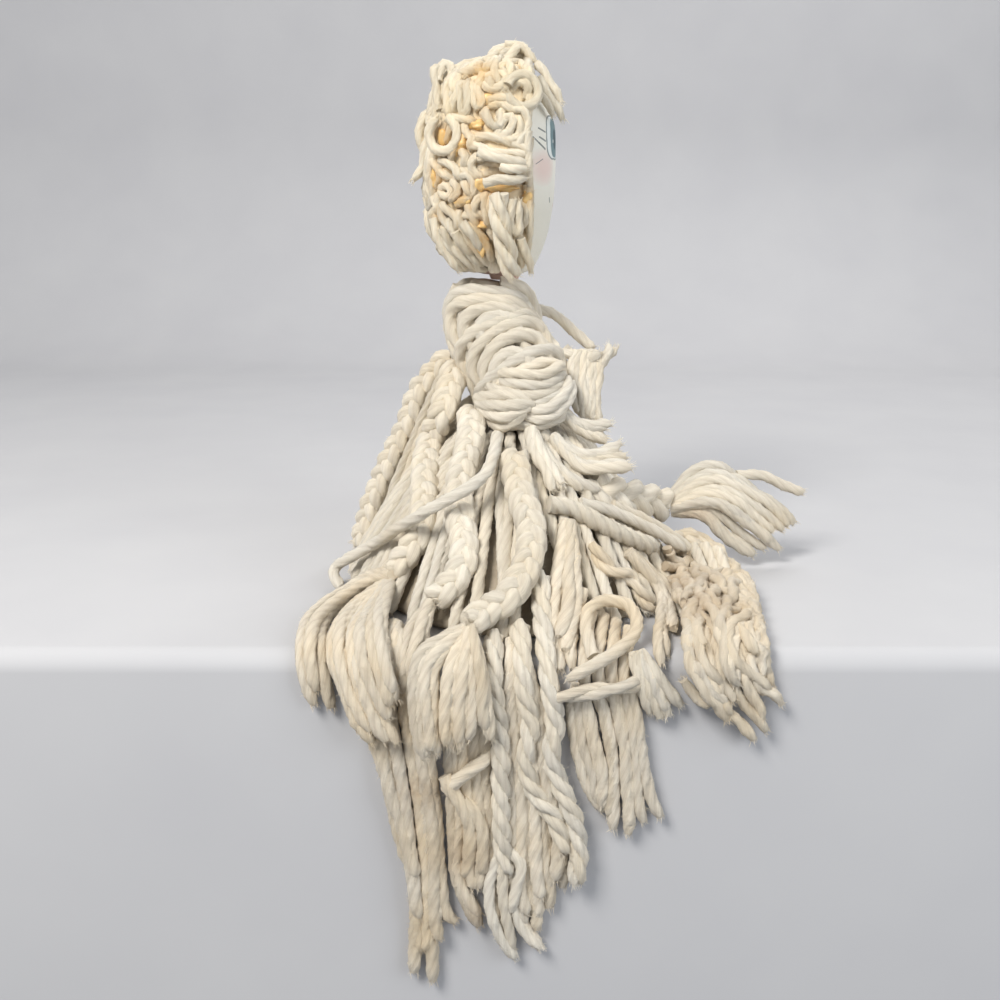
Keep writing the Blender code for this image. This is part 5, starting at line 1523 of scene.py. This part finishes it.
for away in (1.6 * mm, 4.4 * mm, 7 * mm):
    arch = []
    for level in np.linspace(0.1, 0.97, 12):
        far = head_length / 2 * head_half_sizes(level)[0] + away
        arch.append(over_hair(math.acos(min(hairline / far, 1)), level, away))
    arch = even_points(arch + [Vector((point.x, -point.y, point.z)) for point in reversed(arch)], 60)
    k = 0
    while k < 54:
        stop = min(k + int(chance.uniform(7, 15)), 59)
        hair_routes.append([point + Vector([chance.uniform(-0.8, 0.8) * mm for n in range(3)])
                            for point in arch[k:stop + 1:3]])
        k = stop - 1
hair_routes = [[drawn_in(point) for point in route] for route in hair_routes]
glue_spots = ((476, 125, 3.6, 1.8), (462, 143, 3.0, 3.2), (435, 178, 2.4, 4.2), (462, 201, 4.2, 2.0),
              (527, 197, 2.0, 2.8), (488, 99, 3.2, 1.6), (437, 216, 2.0, 2.0), (480, 225, 3.0, 1.8),
              (511, 222, 1.4, 3.0), (443, 136, 2.6, 4.0), (500, 189, 6.5, 1.4), (482, 244, 2.0, 4.2),
              (508, 166, 2.2, 1.2), (480, 184, 2.2, 2.6), (479, 72, 4.5, 1.2), (455, 150, 2.2, 2.2))
stains = []
for u, v, half_wide, half_high in glue_spots:
    middle = on_head(u, v, hair_depth - 1.5 * mm)
    for place in (middle, Vector((middle.x, -middle.y, middle.z))):
        stains.append((place, max(half_wide, half_high) * 1.25 * mm))
add_yarn("hair_loops", hair_routes, hair_radius, hair_finish, "head", ["hair_mat"], gap=2.1 * mm,
         turn_length=hair_turn_length, groove=hair_groove, fuzz=34000.0, frayed=False, stains=stains)

hair_locks = {
    "hair_tuft_back": ([[(440, 110, -18), (438, 100, -17), (437, 88, -15), (434, 76, -14), (434, 69, -13),
                         (438, 67, -12), (440, 75, -12)],
                        [(439, 82, -14), (440, 70, -12), (445, 63, -11), (450, 66, -11), (453, 75, -12),
                         (452, 92, -15)]], 1.0),
    "hair_tuft_top": ([[(506, 60, -8), (513, 52, -6), (519, 45, -4), (526, 51, -3), (536, 62, -3)]], 1.0),
    "hair_end_loose": ([[(431, 134, -8), (424, 150, -7), (423, 166, -6), (418, 174, -6), (413, 180, -6)]], 1.0),
    "forehead_lock_upper": ([[(536, 63, -6), (545, 73, -7), (550, 83, -8), (557, 92, -9), (561, 102, -9)],
                             [(539, 78, -8), (547, 92, -10), (553, 102, -10), (559, 110, -10), (562, 119, -9)]],
                            0.95),
    "forehead_lock_lower": ([[(526, 84, -17), (538, 92, -18), (547, 104, -17), (553, 115, -15)]], 0.9),
    "cheek_lock_upper": ([[(478, 152, -36), (492, 157, -37), (510, 160, -36), (524, 163, -33)],
                          [(500, 166, -36), (512, 169, -36), (525, 168, -33)]], 1.1),
    "cheek_lock_lower": ([[(484, 183, -35), (498, 179, -36), (514, 180, -35), (526, 178, -32)]], 1.1),
    "side_lock_short": ([[(512, 199, -34), (511, 212, -34), (511, 224, -33), (515, 233, -32), (519, 230, -32),
                          (518, 214, -33), (518, 202, -33)],
                         [(521, 238, -31), (524, 249, -29), (527, 257, -27), (531, 265, -24), (531, 272, -22)]], 1.0),
    "nape_lock_outer": ([[(433, 218, -18), (438, 236, -18), (448, 254, -17), (459, 270, -15)],
                         [(443, 228, -20), (447, 238, -20), (453, 248, -18), (458, 260, -16), (464, 267, -15)]], 1.1),
    "nape_lock_inner": ([[(455, 232, -27), (460, 241, -26), (467, 248, -24), (472, 254, -22)],
                         [(462, 223, -30), (469, 231, -30), (475, 240, -28), (481, 249, -25), (482, 255, -22)]], 1.1),
}


def add_lock(name, routes, radius):
    """A lock or curl of hair that stands for its node."""
    add_node_yarn(name, routes, radius, hair_finish, "head", gap=lock_ring_gap, turn_length=hair_turn_length,
                  groove=hair_groove)


for name, (strands, share) in hair_locks.items():
    add_lock(name, all_at_depths(strands), hair_radius * share)

side_lock_places = [(498, 194, -35), (499, 210, -35), (501, 228, -34), (506, 246, -32), (509, 262, -29),
                    (513, 275, -26)]
add_lock("side_lock", twisted_routes(at_depths(side_lock_places), 3, 2.3 * mm, 34 * mm), hair_radius * 1.15)


def ring_round(centre, radius, facing, start, sweep):
    """Points round an arc of a circle that faces a direction."""
    facing = Vector(facing).normalized()
    side = facing.cross(Vector((0, 0, 1))).normalized()
    up = side.cross(facing)
    turns = [math.radians(start + sweep * k / 14) for k in range(15)]
    return [centre + (side * math.cos(turn) + up * math.sin(turn)) * radius for turn in turns]


ring_middle, oval_middle = at_depths([(523, 91, -27), (443, 134, -24)])
inner_coil = at_depths([(512, 95, -23), (513, 87, -25), (518, 82, -26), (525, 83, -26), (529, 89, -25), (527, 96, -24),
                        (521, 99, -23)])
curls = {"hair_curl_ring": [ring_round(ring_middle, 6.4 * mm, (0.25, -1, 0.2), 20, 330), inner_coil],
         "hair_curl_oval": [ring_round(oval_middle, 6.6 * mm, (-0.55, -1, 0), 110, 320)]}
for name, rounds in curls.items():
    add_lock(name, rounds, hair_radius * 1.1)

glue_finish, glue_tree, glue_shader, glue_place = new_finish("old_glue_finish", 0.38)
glue_cloud = blotches(glue_tree, glue_place, 200.0, 3.0)
glue_colour = mixed(glue_tree, glue_cloud, (0.62, 0.33, 0.10), (0.95, 0.72, 0.34))
wear(glue_tree, glue_shader, glue_colour, glue_cloud, 0.5, 0.8 * mm)
glue_shader.inputs["Subsurface Weight"].default_value = 0.15
glue_shader.inputs["Subsurface Radius"].default_value = (3 * mm, 2 * mm, 1 * mm)
glue_shape = bmesh.new()
for u, v, half_wide, half_high in glue_spots:
    for mirror in (1, -1):
        middle = on_head(u, v, hair_depth - 3 * mm)
        lump = bmesh.ops.create_icosphere(glue_shape, subdivisions=3, radius=1)["verts"]
        outward = Vector((middle.x, middle.y, 0)).normalized()
        turned = outward.to_track_quat("Y", "Z").to_matrix()
        for vert in lump:
            rough = 1 + 0.7 * noise.noise(vert.co * 1.3 + Vector((u, v, mirror)))
            sized = Vector((vert.co.x * half_wide * mm, vert.co.y * 2 * mm, vert.co.z * half_high * mm)) * rough
            vert.co = middle + turned @ sized
            vert.co.y *= mirror
glue_mesh = bpy.data.meshes.new("glue_lumps")
glue_shape.to_mesh(glue_mesh)
glue_shape.free()
glue_mesh.materials.append(glue_finish)
glue_mesh.shade_smooth()
glue_lumps = into_scene("glue_lumps", glue_mesh)
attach(glue_lumps, "head")
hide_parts("glue_coat")


# Sizes
# The box of the dressed model, leaving out the backdrop.

low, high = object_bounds()
